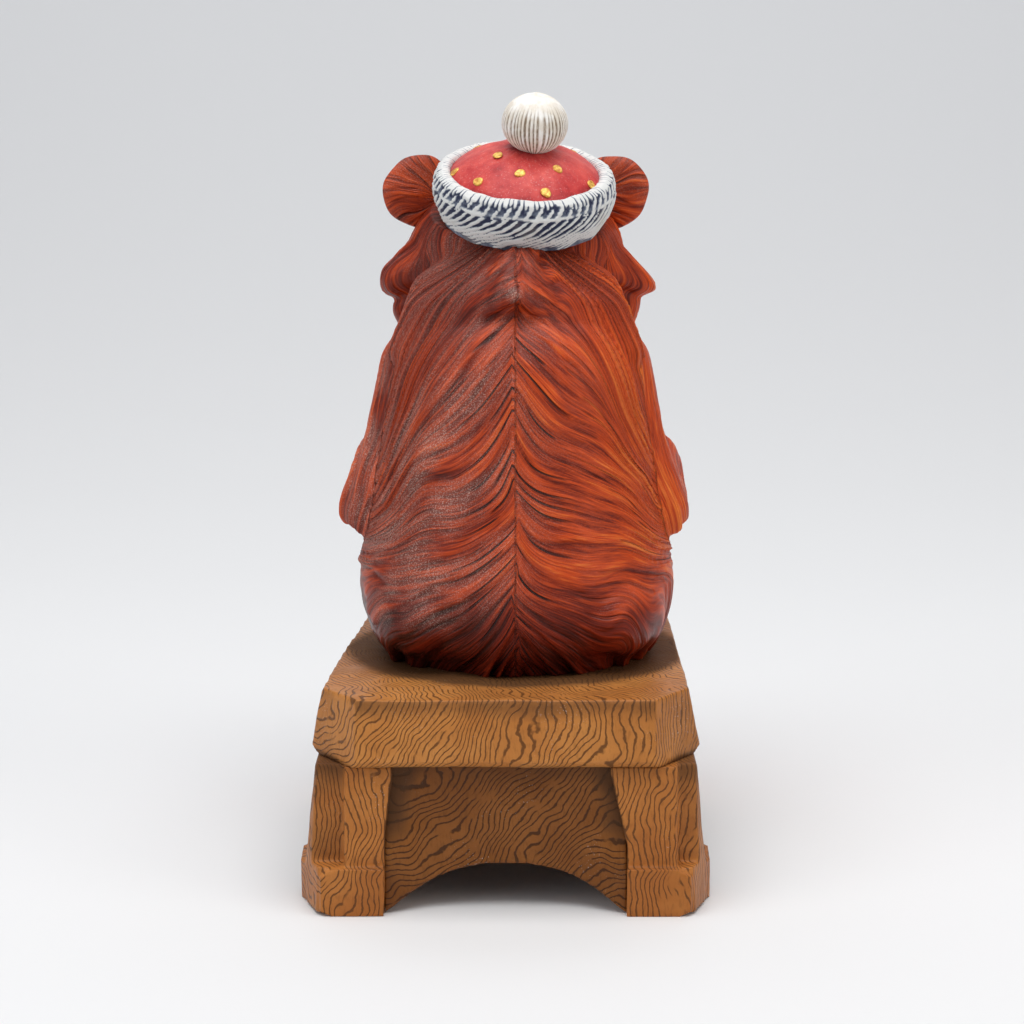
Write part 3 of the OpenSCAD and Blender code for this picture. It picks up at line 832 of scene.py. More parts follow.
@dataclass
class BearCarving:
    """The bear: shaped as one smooth form, carved, and parted at its glued seams."""

    stand: Stand
    voxel: float = 0.5
    body: Sequence[Row] = ((0, -1, 62, 35, 32, 32), (0, -1, 101.5, 28.8, 26, 25),
                           (0, 6, 116, 14, 10, 11))
    cape: Sequence[Row] = ((0.6, 17.6, 125.6, 0.8, 0.8, 0.8), (22, 3, 111.5, 6, 6, 6),
                           (-22, 3, 111.5, 6, 6, 6), (17.2, 0, 118.5, 8, 8, 8),
                           (-17.2, 0, 118.5, 8, 8, 8), (13, -4, 123.5, 10.6, 9.5, 7.6),
                           (-12.6, -4, 123.5, 10.6, 9.5, 7.6), (0, -3, 130, 11, 9, 8))
    shoulder: Row = (20.5, -1, 108, 9.5, 9.5, 9.5)
    upper_arm: Row = (24.6, -1, 93, 8.4, 8.6, 8.4)
    elbow: Row = (30.8, -1, 77.0, 8.2, 8.4, 9.0)
    elbow_right: Row = (30.4, -1, 76.2, 8.2, 8.6, 9.2)
    skull: Row = (0, -20, 131, 24.5, 21.5, 19)
    hat: Triple = (-1.9, -8.3, 149.8)
    hat_lean: float = 20.0
    hat_roll: float = 2.5
    trim_drop: float = 10.6
    hip: Row = (15, -17, 58, 12.8, 12.8, 12.8)
    knee: Row = (16.5, -46, 57.6, 12.6, 12.6, 12.6)
    ankle: Row = (17.2, -55.6, 35, 10.6, 10.6, 10.6)
    heel: Row = (17.6, -55.4, 24, 8.6, 8.6, 8.6)
    foot: Row = (18.8, -62, 22, 9.2, 9.2, 9.2)
    sole: float = 14.0
    made: dict[Part, bpy.types.Object] = field(default_factory=dict)

    def forearm(self, right: bool) -> Sequence[Row]:
        """Wrist and paw; the right forearm is carried higher."""
        if right:
            return ((30, -19, 84, 8, 8, 8), (17, -33, 94, 6.6, 6.6, 6.6), (7, -36, 98, 6.2, 6.2, 6.4))
        return ((28.6, -19, 79, 7.2, 7.2, 7.2), (17, -34, 84, 6.4, 6.4, 6.4),
                (7.5, -38, 85.5, 6.2, 6.2, 6.4))

    def arm_rows(self, side: float) -> Sequence[Row]:
        """Every lump of one arm, from the shoulder to the paw."""
        elbow = self.elbow if side > 0 else self.elbow_right
        return (self.shoulder, self.upper_arm, elbow, *self.forearm(side < 0))

    @staticmethod
    def sided(row: Row, side: float) -> Row:
        """The same lump on the bear's left (1) or right (-1)."""
        return (side * row[0], *row[1:])

    def chain(self, rows: Sequence[Row], side: float, name: str) -> bpy.types.Object:
        """A limb: lumps skinned two at a time and left overlapping."""
        links = [wrapped([self.stand.egg(self.sided(a, side)), self.stand.egg(self.sided(b, side))],
                         name) for a, b in zip(rows[:-1], rows[1:])]
        return joined(links, name)

    def arm(self, side: float) -> bpy.types.Object:
        """One arm, its elbow sawn off on the slant."""
        arm = self.chain(self.arm_rows(side), side, "arm")
        finish_with(arm, "REMESH", mode="VOXEL", voxel_size=self.voxel * MM)
        bpy.ops.object.mode_set(mode="EDIT")
        bpy.ops.mesh.select_all(action="SELECT")
        bpy.ops.mesh.bisect(plane_co=self.stand.metres(side * 32.0, 0, 70.2),
                            plane_no=(side * 0.55, 0, -0.83), use_fill=True, clear_outer=True)
        bpy.ops.object.mode_set(mode="OBJECT")
        return arm

    def leg(self, side: float) -> bpy.types.Object:
        """One hind leg with its toes, flat under its sole and behind its shin."""
        shin = self.chain((self.hip, self.knee, self.ankle), side, "shin")
        foot = wrapped([self.stand.egg(self.sided(row, side))
                        for row in (self.ankle, self.heel, self.foot)], "foot")
        toes = [self.stand.egg(self.sided((self.foot[0] + 3.9 * i, -68.2 + 0.9 * abs(i), 20.6,
                                           2.5, 4.4, 5.0), side), 32) for i in range(-2, 3)]
        return joined([shin, foot, *toes], "leg")

    def head(self) -> bpy.types.Object:
        """The head: skull, muzzle, chin, brow, cheeks and the ruffs on them."""
        egg = self.stand.egg
        lumps = [egg(self.skull, 96)]
        lumps.append(wrapped([egg((0, -35, 126, 12.5, 7, 10.5)), egg((0, -46.5, 124.2, 8.4, 6.6, 6.6))],
                             "muzzle"))
        lumps.append(wrapped([egg((0, -28, 117, 15, 12, 8)), egg((0, -44.5, 116.8, 6.0, 5.0, 3.6))],
                             "chin"))
        lumps.append(wrapped([egg((0, -34, 139, 6, 6, 5)), egg((0, -43, 130.5, 4.6, 4.2, 4.2))],
                             "bridge"))
        for side in (1.0, -1.0):
            lumps.append(wrapped([egg((side * 9.4, -34.4, 138.6, 6.0, 5.0, 3.6)),
                                  egg((side * 15.5, -27.5, 136.6, 6.0, 6.0, 5.0))], "brow"))
            lumps.append(wrapped([egg((side * 7.0, -44.5, 121.6, 5.2, 6.0, 4.6)),
                                  egg((side * 13.0, -34.0, 123.0, 8.0, 8.0, 8.0))], "lip"))
            sharp = 0.0 if side > 0 else 1.0
            tip = 28.2 + 2.0 * sharp
            lumps.append(wrapped([egg((side * 13, -18, 132, 10, 12, 9)),
                                  egg((side * 27.0, -17.5, 126.2 - 0.8 * sharp, 3.8, 5.5, 4.2 - sharp)),
                                  egg((side * tip, -18, 124.4, 2.6 - sharp, 3, 2.4 - sharp))], "ruff"))
            lumps.append(wrapped([egg((side * 13, -19, 121, 10, 12, 8)),
                                  egg((side * 25.2, -18.5, 119.4 + 1.5 * sharp, 3.0, 4.4, 3.0)),
                                  egg((side * 25.6, -18.5, 116.4, 1.4, 2.4, 1.4))], "under_ruff"))
        return joined(lumps, "head_form")

    def hat_seat(self) -> tuple[Triple, Triple]:
        """A point on the flat that the hat stands on, and the flat's upward normal."""
        lean, roll = math.radians(self.hat_lean), math.radians(self.hat_roll)
        up = (-math.sin(roll), math.sin(lean) * math.cos(roll), math.cos(lean) * math.cos(roll))
        at = tuple(self.hat[i] - self.trim_drop * up[i] for i in range(3))
        return self.stand.metres(*at), up

    def below_hat(self, p: np.ndarray) -> np.ndarray:
        """How far each point lies below the flat that the hat stands on."""
        place, up = self.hat_seat()
        return -(p + np.array(self.stand.axis) - np.array(place) / MM) @ np.array(up)

    def masses(self) -> dict[Part, bpy.types.Object]:
        """The smooth masses of the bear before they are worked into one form."""
        egg = self.stand.egg
        body = wrapped([egg(row, 128) for row in self.body], "body_form")
        cape = wrapped([egg(row) for row in self.cape], "cape_form")
        rump = [wrapped([egg((side * 19, 6, 57, 14, 22, 13)), egg((side * 12, -6, 62, 16, 16, 16))],
                        "haunch") for side in (1.0, -1.0)]
        found = {Part.TORSO: joined([body, cape, *rump], "torso_form"), Part.HEAD: self.head()}
        for part, side in ((Part.ARM_LEFT, 1.0), (Part.ARM_RIGHT, -1.0)):
            found[part] = self.arm(side)
        for part, side in ((Part.LEG_LEFT, 1.0), (Part.LEG_RIGHT, -1.0)):
            found[part] = self.leg(side)
        return found

    def worked(self, masses: dict[Part, bpy.types.Object]) -> bpy.types.Object:
        """One closed smooth form from all the masses."""
        form = joined(list(masses.values()), "bear_form")
        finish_with(form, "REMESH", mode="VOXEL", voxel_size=self.voxel * MM)
        bpy.ops.object.mode_set(mode="EDIT")
        bpy.ops.mesh.select_all(action="SELECT")
        place, up = self.hat_seat()
        bpy.ops.mesh.bisect(plane_co=place, plane_no=up, use_fill=True, clear_outer=True)
        bpy.ops.object.mode_set(mode="OBJECT")
        finish_with(form, "REMESH", mode="VOXEL", voxel_size=self.voxel * MM)
        finish_with(form, "SMOOTH", factor=0.5, iterations=10)
        return form

    def nearness(self, form: bpy.types.Object, trees: dict[Part, BVHTree]) -> np.ndarray:
        """How much each point of the form belongs to each part.

        Args:
            form: The smooth form.
            trees: The surface of each part's own masses.

        Returns:
            One row for each point and one column for each part; a row adds up to 1.
        """
        points = points_of(form)
        away = np.full((len(points), len(trees)), 50.0)
        for column, tree in enumerate(trees.values()):
            for i, p in enumerate((points * MM).tolist()):
                hit = tree.find_nearest(p, 0.004)
                if hit[0] is not None:
                    away[i, column] = hit[3] / MM
        share = np.exp(-away / 0.55)
        share /= share.sum(1, keepdims=True)
        ends = np.zeros(len(form.data.edges) * 2, np.int32)
        form.data.edges.foreach_get("vertices", ends)
        ends = ends.reshape(-1, 2)
        count = np.bincount(ends.ravel(), minlength=len(points))[:, None]
        for _ in range(14):
            near = np.stack([np.bincount(ends[:, 0], share[ends[:, 1], k], len(points))
                             + np.bincount(ends[:, 1], share[ends[:, 0], k], len(points))
                             for k in range(share.shape[1])], 1)
            share = 0.4 * share + 0.6 * near / count
        return share

    def flows(self) -> dict[Part, object]:
        """The way the hair runs on each part."""
        hair = HeadFlow(self.hat, math.radians(self.hat_lean))
        found: dict[Part, object] = {Part.TORSO: BackFlow(), Part.HEAD: hair}
        for part, side in ((Part.ARM_LEFT, 1.0), (Part.ARM_RIGHT, -1.0)):
            line = [self.sided(row, side)[:3] for row in self.arm_rows(side)]
            found[part] = LimbFlow(line, side, 8.0, 31 if side > 0 else 37)
        for part, side in ((Part.LEG_LEFT, 1.0), (Part.LEG_RIGHT, -1.0)):
            line = [self.sided(row, side)[:3] for row in (self.hip, self.knee, self.ankle, self.foot)]
            found[part] = LimbFlow(line, side, 11.0, 41 if side > 0 else 43)
        return found

    def face_calm(self, p: np.ndarray) -> np.ndarray:
        """Less relief on the muzzle, round the eyes, and on the paws and feet."""
        muzzle = ease(-36.0, -43.0, p[:, 1]) * ease(108.0, 112.0, p[:, 2])
        eye = np.hypot(np.abs(p[:, 0]) - 9.6, p[:, 2] - 133.0)
        calm = np.maximum(muzzle * 0.8, ease(7.0, 3.5, eye) * (p[:, 1] < -25) * 0.9)
        paw = ease(13.0, 8.0, np.abs(p[:, 0])) * ease(-29.0, -33.0, p[:, 1]) * (p[:, 2] < 108)
        foot = ease(30.0, 23.0, p[:, 2]) * (p[:, 1] < -40)
        return 1.0 - np.maximum(np.maximum(calm, paw * 0.55), foot * 0.5)

    def mouth(self, p: np.ndarray) -> np.ndarray:
        """The depth of the line of the mouth and the cleft under the nose."""
        smile = 119.4 + 0.018 * p[:, 0] ** 2
        line = np.exp(-((p[:, 2] - smile) / 0.65) ** 2) * ease(12.5, 9.0, np.abs(p[:, 0]))
        cleft = np.exp(-(p[:, 0] / 0.6) ** 2) * ease(124.0, 122.5, p[:, 2]) * ease(118.6, 119.6, p[:, 2])
        return np.maximum(line, cleft) * ease(-36.0, -40.0, p[:, 1]) * (p[:, 2] > 110)

    def carve(self, form: bpy.types.Object, share: np.ndarray) -> np.ndarray:
        """Cuts the hair into the form and notes its run on the points.

        Args:
            form: The smooth form.
            share: How much each point belongs to each part.

        Returns:
            The number of the part that each point belongs to.
        """
        points, out = points_of(form), outward_of(form)
        p = points - np.array(self.stand.axis)
        cut = HairCut()
        owner = share.argmax(1)
        height, raised = np.zeros(len(p)), np.zeros(len(p))
        flow = np.zeros((len(p), 3))
        right = (p[:, 0] < 0).astype(float)
        sheet = ease(-13.0, -3.0, p[:, 1])
        for column, (part, run) in enumerate(self.flows().items()):
            along, across = run.along_across(p)
            relief = cut.relief(along, across + 60.0 * right)
            extra = np.zeros(len(p))
            if part is Part.TORSO:
                back = (relief, along, across)
                behind = ease(-4.0, 4.0, p[:, 1])
                seam = ease(0.0, 1.3, along) + (1.0 - behind)
                relief = 0.55 + (relief - 0.55) * np.clip(seam, 0.0, 1.0)
                extra = 1.2 * ease(-0.4, 0.3, across - run.collar) * behind * ease(19.0, 6.0, along)
                extra -= 2.0 * (0.9 - relief) * ease(51.0, 45.5, p[:, 2])
            if part is Part.HEAD:
                # Shallower cuts right under the hat, which also paints the fur there darker: painted shade
                # under the hat's roll.
                relief *= 0.3 + 0.7 * ease(0.0, 5.0, self.below_hat(p))
            if part in (Part.HEAD, Part.LEG_LEFT, Part.LEG_RIGHT):
                relief += sheet * (back[0] - relief)
                along, across = np.where(sheet > 0.5, (back[1], back[2]), (along, across))
            height += share[:, column] * relief
            raised += share[:, column] * extra
            mine = owner == column
            flow[mine] = np.stack((along, across, 7.0 * right + 3.0 * column * (sheet <= 0.5)), 1)[mine]
        relief = np.clip(height / 1.4, 0.0, 1.0)
        calm = self.face_calm(p)
        depth = (height - 0.75) * calm - 0.9 * self.mouth(p) + raised
        points += out * depth[:, None]
        p = points - np.array(self.stand.axis)
        over = (p[:, 1] > self.stand.seat_front - self.stand.axis[1] - 0.4)
        low = over & (p[:, 2] < self.stand.seat_top)
        shin = low & (p[:, 1] < -40.0)
        points[low & ~shin, 2] = self.stand.seat_top
        points[shin, 1] = self.stand.seat_front - 0.4
        points[:, 2] = np.maximum(points[:, 2], self.sole)
        move_points(form, points)
        note_on_points(form, "flow", flow)
        # The relief value darkens the cuts: gathered stain, partly painted shade.
        note_on_points(form, "relief", relief * (0.35 + 0.65 * calm))
        note_on_points(form, "gouge", self.dark_cuts(p, (p[:, 1] > 2.0) & (owner == 0)))
        # Dust, and a painted highlight on the tuft.
        note_on_points(form, "dust", self.dust(p, out))
        # Painted shade low down and at the nape, with darker old stain.
        note_on_points(form, "age", self.age(p))
        return owner

    @staticmethod
    def dark_cuts(p: np.ndarray, back: np.ndarray) -> np.ndarray:
        """Where the narrow dark cuts lie: beside the spine, and thinly over the back.

        Args:
            p: Points in millimetres from the bear's axis.
            back: Which of them are on the back.

        Returns:
            How strongly each point shows them.
        """
        near_spine = ease(15.0, 6.0, np.abs(p[:, 0])) * ease(122.0, 116.0, p[:, 2]) * back
        return np.maximum(near_spine, 0.35 * back * ease(45.0, 60.0, p[:, 2]))

    @staticmethod
    def dust(p: np.ndarray, out: np.ndarray) -> np.ndarray:
        """Where dust settles: behind, most of all on the left; and a painted highlight on the tuft.

        Args:
            p: Points in millimetres from the bear's axis.
            out: The direction straight out of the surface at each.

        Returns:
            How much dust lies on each point, and the painted highlight on the tuft.
        """
        settle = ease(-0.35, 0.5, out[:, 2] + 0.35 * p[:, 0] / 30.0)
        band = ease(48.0, 62.0, p[:, 2]) * (0.35 + 0.65 * ease(118.0, 96.0, p[:, 2]))
        dust = settle * (0.25 + 0.75 * band) * (0.25 + 0.75 * ease(-12.0, 8.0, p[:, 0]))
        dust *= 0.12 + 0.88 * ease(-16.0, -2.0, p[:, 1])
        # A pale spot on the tuft at the nape: a painted highlight.
        tuft = np.linalg.norm(p - np.array((0.4, 19.0, 125.2)), axis=1)
        return np.clip(dust, 0, 1) + 2.2 * np.exp(-(tuft / 1.3) ** 2)

    @staticmethod
    def age(p: np.ndarray) -> np.ndarray:
        """How much darker the fur is painted: painted shade low down and at the nape under the hat, mixed
        with darker old stain; the left side painted darker and the right lighter, as light falls.
        """
        behind = 0.3 + 0.7 * ease(-22.0, -6.0, p[:, 1])
        age = 1.05 * ease(72.0, 47.0, p[:, 2]) * behind + 0.3 * ease(-2.0, 12.0, p[:, 0])
        age += 0.35 * ease(112.0, 124.0, p[:, 2]) - 0.45 * ease(-12.0, -27.0, p[:, 0])
        return age

    def part_off(self, form: bpy.types.Object, owner: np.ndarray, names: list[Part]) -> None:
        """Saws the carved form apart at its seams and closes every cut."""
        data = form.data
        loops = np.zeros(len(data.loops), np.int32)
        data.loops.foreach_get("vertex_index", loops)
        starts = np.zeros(len(data.polygons), np.int32)
        data.polygons.foreach_get("loop_start", starts)
        label = owner[loops[starts]]
        data.attributes.new("part", "INT", "FACE").data.foreach_set("value", label.astype(np.int32))
        rest = form
        for number, part in reversed(list(enumerate(names))):
            if number:
                labels = np.zeros(len(rest.data.polygons), np.int32)
                rest.data.attributes["part"].data.foreach_get("value", labels)
                pick_up(rest)
                bpy.ops.object.mode_set(mode="EDIT")
                bpy.ops.mesh.select_mode(type="FACE")
                bpy.ops.mesh.select_all(action="DESELECT")
                bpy.ops.object.mode_set(mode="OBJECT")
                rest.data.polygons.foreach_set("select", labels == number)
                bpy.ops.object.mode_set(mode="EDIT")
                bpy.ops.mesh.separate(type="SELECTED")
                bpy.ops.object.mode_set(mode="OBJECT")
                piece = next(o for o in bpy.context.selected_objects if o is not rest)
            else:
                piece = rest
            piece.name = piece.data.name = "carved_" + part.value
            self.close(piece)
            self.made[part] = piece

    @staticmethod
    def close(piece: bpy.types.Object) -> None:
        """Closes each sawn opening with a plug that runs to the opening's middle."""
        pick_up(piece)
        bpy.ops.object.mode_set(mode="EDIT")
        bpy.ops.mesh.select_mode(type="EDGE")
        bpy.ops.mesh.select_all(action="DESELECT")
        bpy.ops.mesh.select_non_manifold()
        bpy.ops.mesh.mark_sharp()
        bpy.ops.mesh.extrude_edges_move()
        bpy.ops.mesh.merge(type="COLLAPSE")
        bpy.ops.mesh.select_all(action="SELECT")
        bpy.ops.mesh.normals_make_consistent(inside=False)
        bpy.ops.object.mode_set(mode="OBJECT")
        smooth_shaded(piece)

    def build(self) -> None:
        """Shapes, carves, parts and dresses the bear."""
        masses = self.masses()
        trees = {}
        for part, mass in masses.items():
            corners = [v.co.copy() for v in mass.data.vertices]
            trees[part] = BVHTree.FromPolygons(corners, [tuple(f.vertices) for f in mass.data.polygons])
        form = self.worked(masses)
        owner = self.carve(form, self.nearness(form, trees))
        self.part_off(form, owner, list(trees))
        stain = FurStain().made()
        for part, piece in self.made.items():
            dress(piece, stain)
            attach(piece, "root")
            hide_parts(part.value)
            LOG.info("%s: %d faces", piece.name, len(piece.data.polygons))


# ---------------------------------------------------------------- ears, face and claws


def fitted(piece: bpy.types.Object, node: str, finish: bpy.types.Material) -> None:
    """Hands a finished piece over in place of its solid.

    Args:
        piece: The finished piece.
        node: The solid that it stands for.
        finish: Its material.
    """
    smooth_shaded(piece)
    dress(piece, finish)
    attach(piece, "root")
    if node:
        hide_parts(node)
    LOG.info("%s: %d faces", piece.name, len(piece.data.polygons))


@dataclass
class Ears:
    """Two thin discs, hollowed in front, with gouge cuts that fan out behind."""

    stand: Stand
    radius: float = 8.4
    at: Triple = (22.0, -26.5, 145.3)
    yaw: float = 14.0
    back: float = 2.3
    rim: float = 1.3
    fan: tuple[float, float] = (5.6, -1.5)
    around: int = 176
    rings: int = 72

    def build(self) -> None:
        """Models and dresses both ears."""
        stain = FurStain().made()
        stain.name = "ear_stain"
        for side, name in ((1.0, "ear_left"), (-1.0, "ear_right")):
            fitted(self.ear(side, "carved_" + name), name, stain)

    def ear(self, side: float, name: str) -> bpy.types.Object:
        """One ear.

        Args:
            side: 1 for the bear's left, -1 for its right.
            name: The piece's name.

        Returns:
            The ear, with the run of its cuts noted on its points.
        """
        put_down_everything()
        bpy.ops.mesh.primitive_uv_sphere_add(segments=self.around, ring_count=self.rings, radius=MM)
        ear = bpy.context.object
        ear.name = ear.data.name = name
        p = points_of(ear)
        flat = np.hypot(p[:, 0], p[:, 1])
        q = np.clip(flat, 0.0, 1.0) ** 0.85
        bearing = np.arctan2(p[:, 1], p[:, 0])
        uneven = 1.0 + 0.025 * np.sin(3.0 * bearing + 1.0 + side) + 0.012 * np.sin(7.0 * bearing)
        reach = self.radius * q * (uneven - 0.025 * q)
        behind = p[:, 2] < 0.0
        bowl = self.rim * ease(1.0, 0.84, q) - 1.0 * ease(0.80, 0.40, q) + 0.5 * ease(0.45, 0.0, q)
        face = np.where(behind, -self.back * np.sqrt(np.clip(1.0 - q ** 2.6, 0, 1)) - 0.1, bowl)
        x, y = reach * np.cos(bearing), reach * np.sin(bearing)
        from_x, from_y = x + side * self.fan[0], y - self.fan[1]
        along = np.hypot(from_x, from_y)
        across = 8.5 * np.arctan2(from_y, side * from_x)
        loose = Wander(61 if side > 0 else 67)
        across = across + 0.8 * loose.at(along / 5.0, across / 3.0)
        cut = HairCut(lock=2.9, lock_deep=0.34, tress=1.35, tress_deep=0.22, strand=0.62,
                      strand_deep=0.07, seed=71)
        height = cut.relief(along, across)
        calm = ease(1.02, 0.93, q) * ease(0.0, 0.22, q)
        face += np.where(behind, -1.0, 0.55) * (height - 0.3) * calm
        move_points(ear, np.stack((x, y, face), 1))
        note_on_points(ear, "flow", np.stack((along, across, np.full(len(p), 50.0 + side)), 1))
        note_on_points(ear, "relief", np.clip(height / 0.6, 0, 1))
        note_on_points(ear, "gouge", np.where(behind, 0.55, 0.2) * ease(3.0, 6.0, along))
        note_on_points(ear, "dust", np.where(behind, 0.35, 0.1) * np.ones(len(p)))
        turn = Matrix.Rotation(math.radians(side * self.yaw), 4, "Z") @ Matrix.Rotation(math.pi / 2, 4, "X")
        place = self.stand.metres(side * self.at[0], self.at[1], self.at[2])
        ear.matrix_world = Matrix.Translation(place) @ turn
        set_in_place(ear)
        return ear


@dataclass
class Face:
    """The eyes, the nose and the claws."""

    stand: Stand
    eye_at: Triple = (9.2, -39.2, 133.5)
    eye: float = 2.0
    nose_at: Triple = (0.0, -52.6, 126.2)
    nose: Triple = (4.6, 3.4, 3.2)
    paw_left: Triple = (7.5, -38.0, 85.5)
    paw_right: Triple = (7.0, -36.0, 98.0)
    foot: Triple = (18.8, -68.4, 19.6)
    paw_pitch: float = 2.1
    paw_claw_thick: float = 0.95
    foot_pitch: float = 3.9
    foot_claw_thick: float = 1.5

    def bead(self, side: float) -> bpy.types.Object:
        """One eye: a polished bead, flatter behind, with the ring of its setting."""
        x, y, z = self.eye_at
        eye = ball(self.stand.metres(side * x, y, z), (self.eye * MM,) * 3, 48)
        eye.name = eye.data.name = "eye_bead_left" if side > 0 else "eye_bead_right"
        p = points_of(eye)
        middle = np.array(self.stand.metres(side * x, y, z)) / MM
        q = p - middle
        q[:, 1] = np.where(q[:, 1] > 0, q[:, 1] * 0.7, q[:, 1])
        q[:, 2] *= 0.94
        ring = np.hypot(q[:, 0], q[:, 2])
        q[:, 1] -= 0.12 * np.exp(-((ring - 1.45) / 0.16) ** 2) * (q[:, 1] < 0)
        move_points(eye, middle + q)
        return eye

    def leather(self) -> bpy.types.Object:
        """The nose: broad above, narrow below, with two nostrils and a cleft."""
        nose = ball(self.stand.metres(*self.nose_at), tuple(r * MM for r in self.nose), 96)
        nose.name = nose.data.name = "nose_leather"
        middle = np.array(self.stand.metres(*self.nose_at)) / MM
        q = points_of(nose) - middle
        out = outward_of(nose)
        high = q[:, 2] / self.nose[2]
        q[:, 0] *= 0.84 + 0.16 * high
        q[:, 2] += 0.25 * np.abs(q[:, 0]) / self.nose[0] * (high > 0)
        for side in (1.0, -1.0):
            hole = np.hypot((q[:, 0] - side * 2.1) / 0.95, (q[:, 2] + 0.55) / 0.6)
            q -= out * (0.9 * np.exp(-hole ** 2) * (q[:, 1] < -0.5))[:, None]
        cleft = np.exp(-(q[:, 0] / 0.35) ** 2) * ease(0.6, -0.6, q[:, 2]) * (q[:, 1] < 0)
        q -= out * (0.45 * cleft)[:, None]
        pebble = Wander(5).at(q[:, 0] / 0.45 + 9, q[:, 2] / 0.45 + 9)
        q += out * (0.05 * pebble)[:, None]
        move_points(nose, middle + q)
        return nose

    def claw(self, root: Triple, mid: Triple, tip: Triple, thick: float) -> bpy.types.Object:
        """One hooked claw through three points."""
        metres = self.stand.metres
        radii = (thick, thick * 0.72, thick * 0.26)
        steps = list(zip((root, mid, tip), radii))
        links = []
        for ends in zip(steps[:-1], steps[1:]):
            lumps = [ball(metres(*at), (0.8 * r * MM, r * MM, r * MM), 20) for at, r in ends]
            links.append(wrapped(lumps, "claw"))
        return joined(links, "claw")

    def paw_claw(self, side: float, paw: Triple, place: int) -> bpy.types.Object:
        """One claw of a front paw, pointing inwards; they stand one above another."""
        x, y, z = paw[0] - 3.4, paw[1], paw[2] - self.paw_pitch * place
        spread = -0.35 * place
        return self.claw((side * x, y - 3.0, z),
                         (side * (x - 2.0), y - 3.4, z + 0.5 * spread),
                         (side * (x - 4.0), y - 1.8, z + spread), self.paw_claw_thick)

    def foot_claw(self, side: float, place: int) -> bpy.types.Object:
        """One claw of a hind foot, over the tip of its toe."""
        x, y, z = self.foot[0] + self.foot_pitch * place, self.foot[1] + 0.9 * abs(place), self.foot[2]
        return self.claw((side * x, y - 1.2, z + 0.6),
                         (side * (x + 0.1 * place), y - 3.0, z - 0.6),
                         (side * (x + 0.2 * place), y - 3.7, z - 3.0), self.foot_claw_thick)

    def set_of_claws(self, name: str, claws: Sequence[bpy.types.Object]) -> bpy.types.Object:
        """Five claws worked smooth and kept together as one piece."""
        claws = joined(claws, name)
        finish_with(claws, "REMESH", mode="VOXEL", voxel_size=0.24 * MM)
        finish_with(claws, "SMOOTH", factor=0.5, iterations=6)
        return claws

    def build(self) -> None:
        """Models and dresses the eyes, the nose and the claws."""
        gloss, stain = BeadGloss().made(), ClawStain().made()
        for side, node in ((1.0, "eye_left"), (-1.0, "eye_right")):
            fitted(self.bead(side), node, gloss)
        fitted(self.leather(), "nose", gloss)
        for side, paw, end in ((1.0, self.paw_left, "left"), (-1.0, self.paw_right, "right")):
            hooks = [self.paw_claw(side, paw, i) for i in range(-2, 3)]
            fitted(self.set_of_claws("paw_claws_" + end, hooks), "", stain)
        for side, end in ((1.0, "left"), (-1.0, "right")):
            hooks = [self.foot_claw(side, i) for i in range(-2, 3)]
            fitted(self.set_of_claws("foot_claws_" + end, hooks), "", stain)


# ---------------------------------------------------------------- the hat


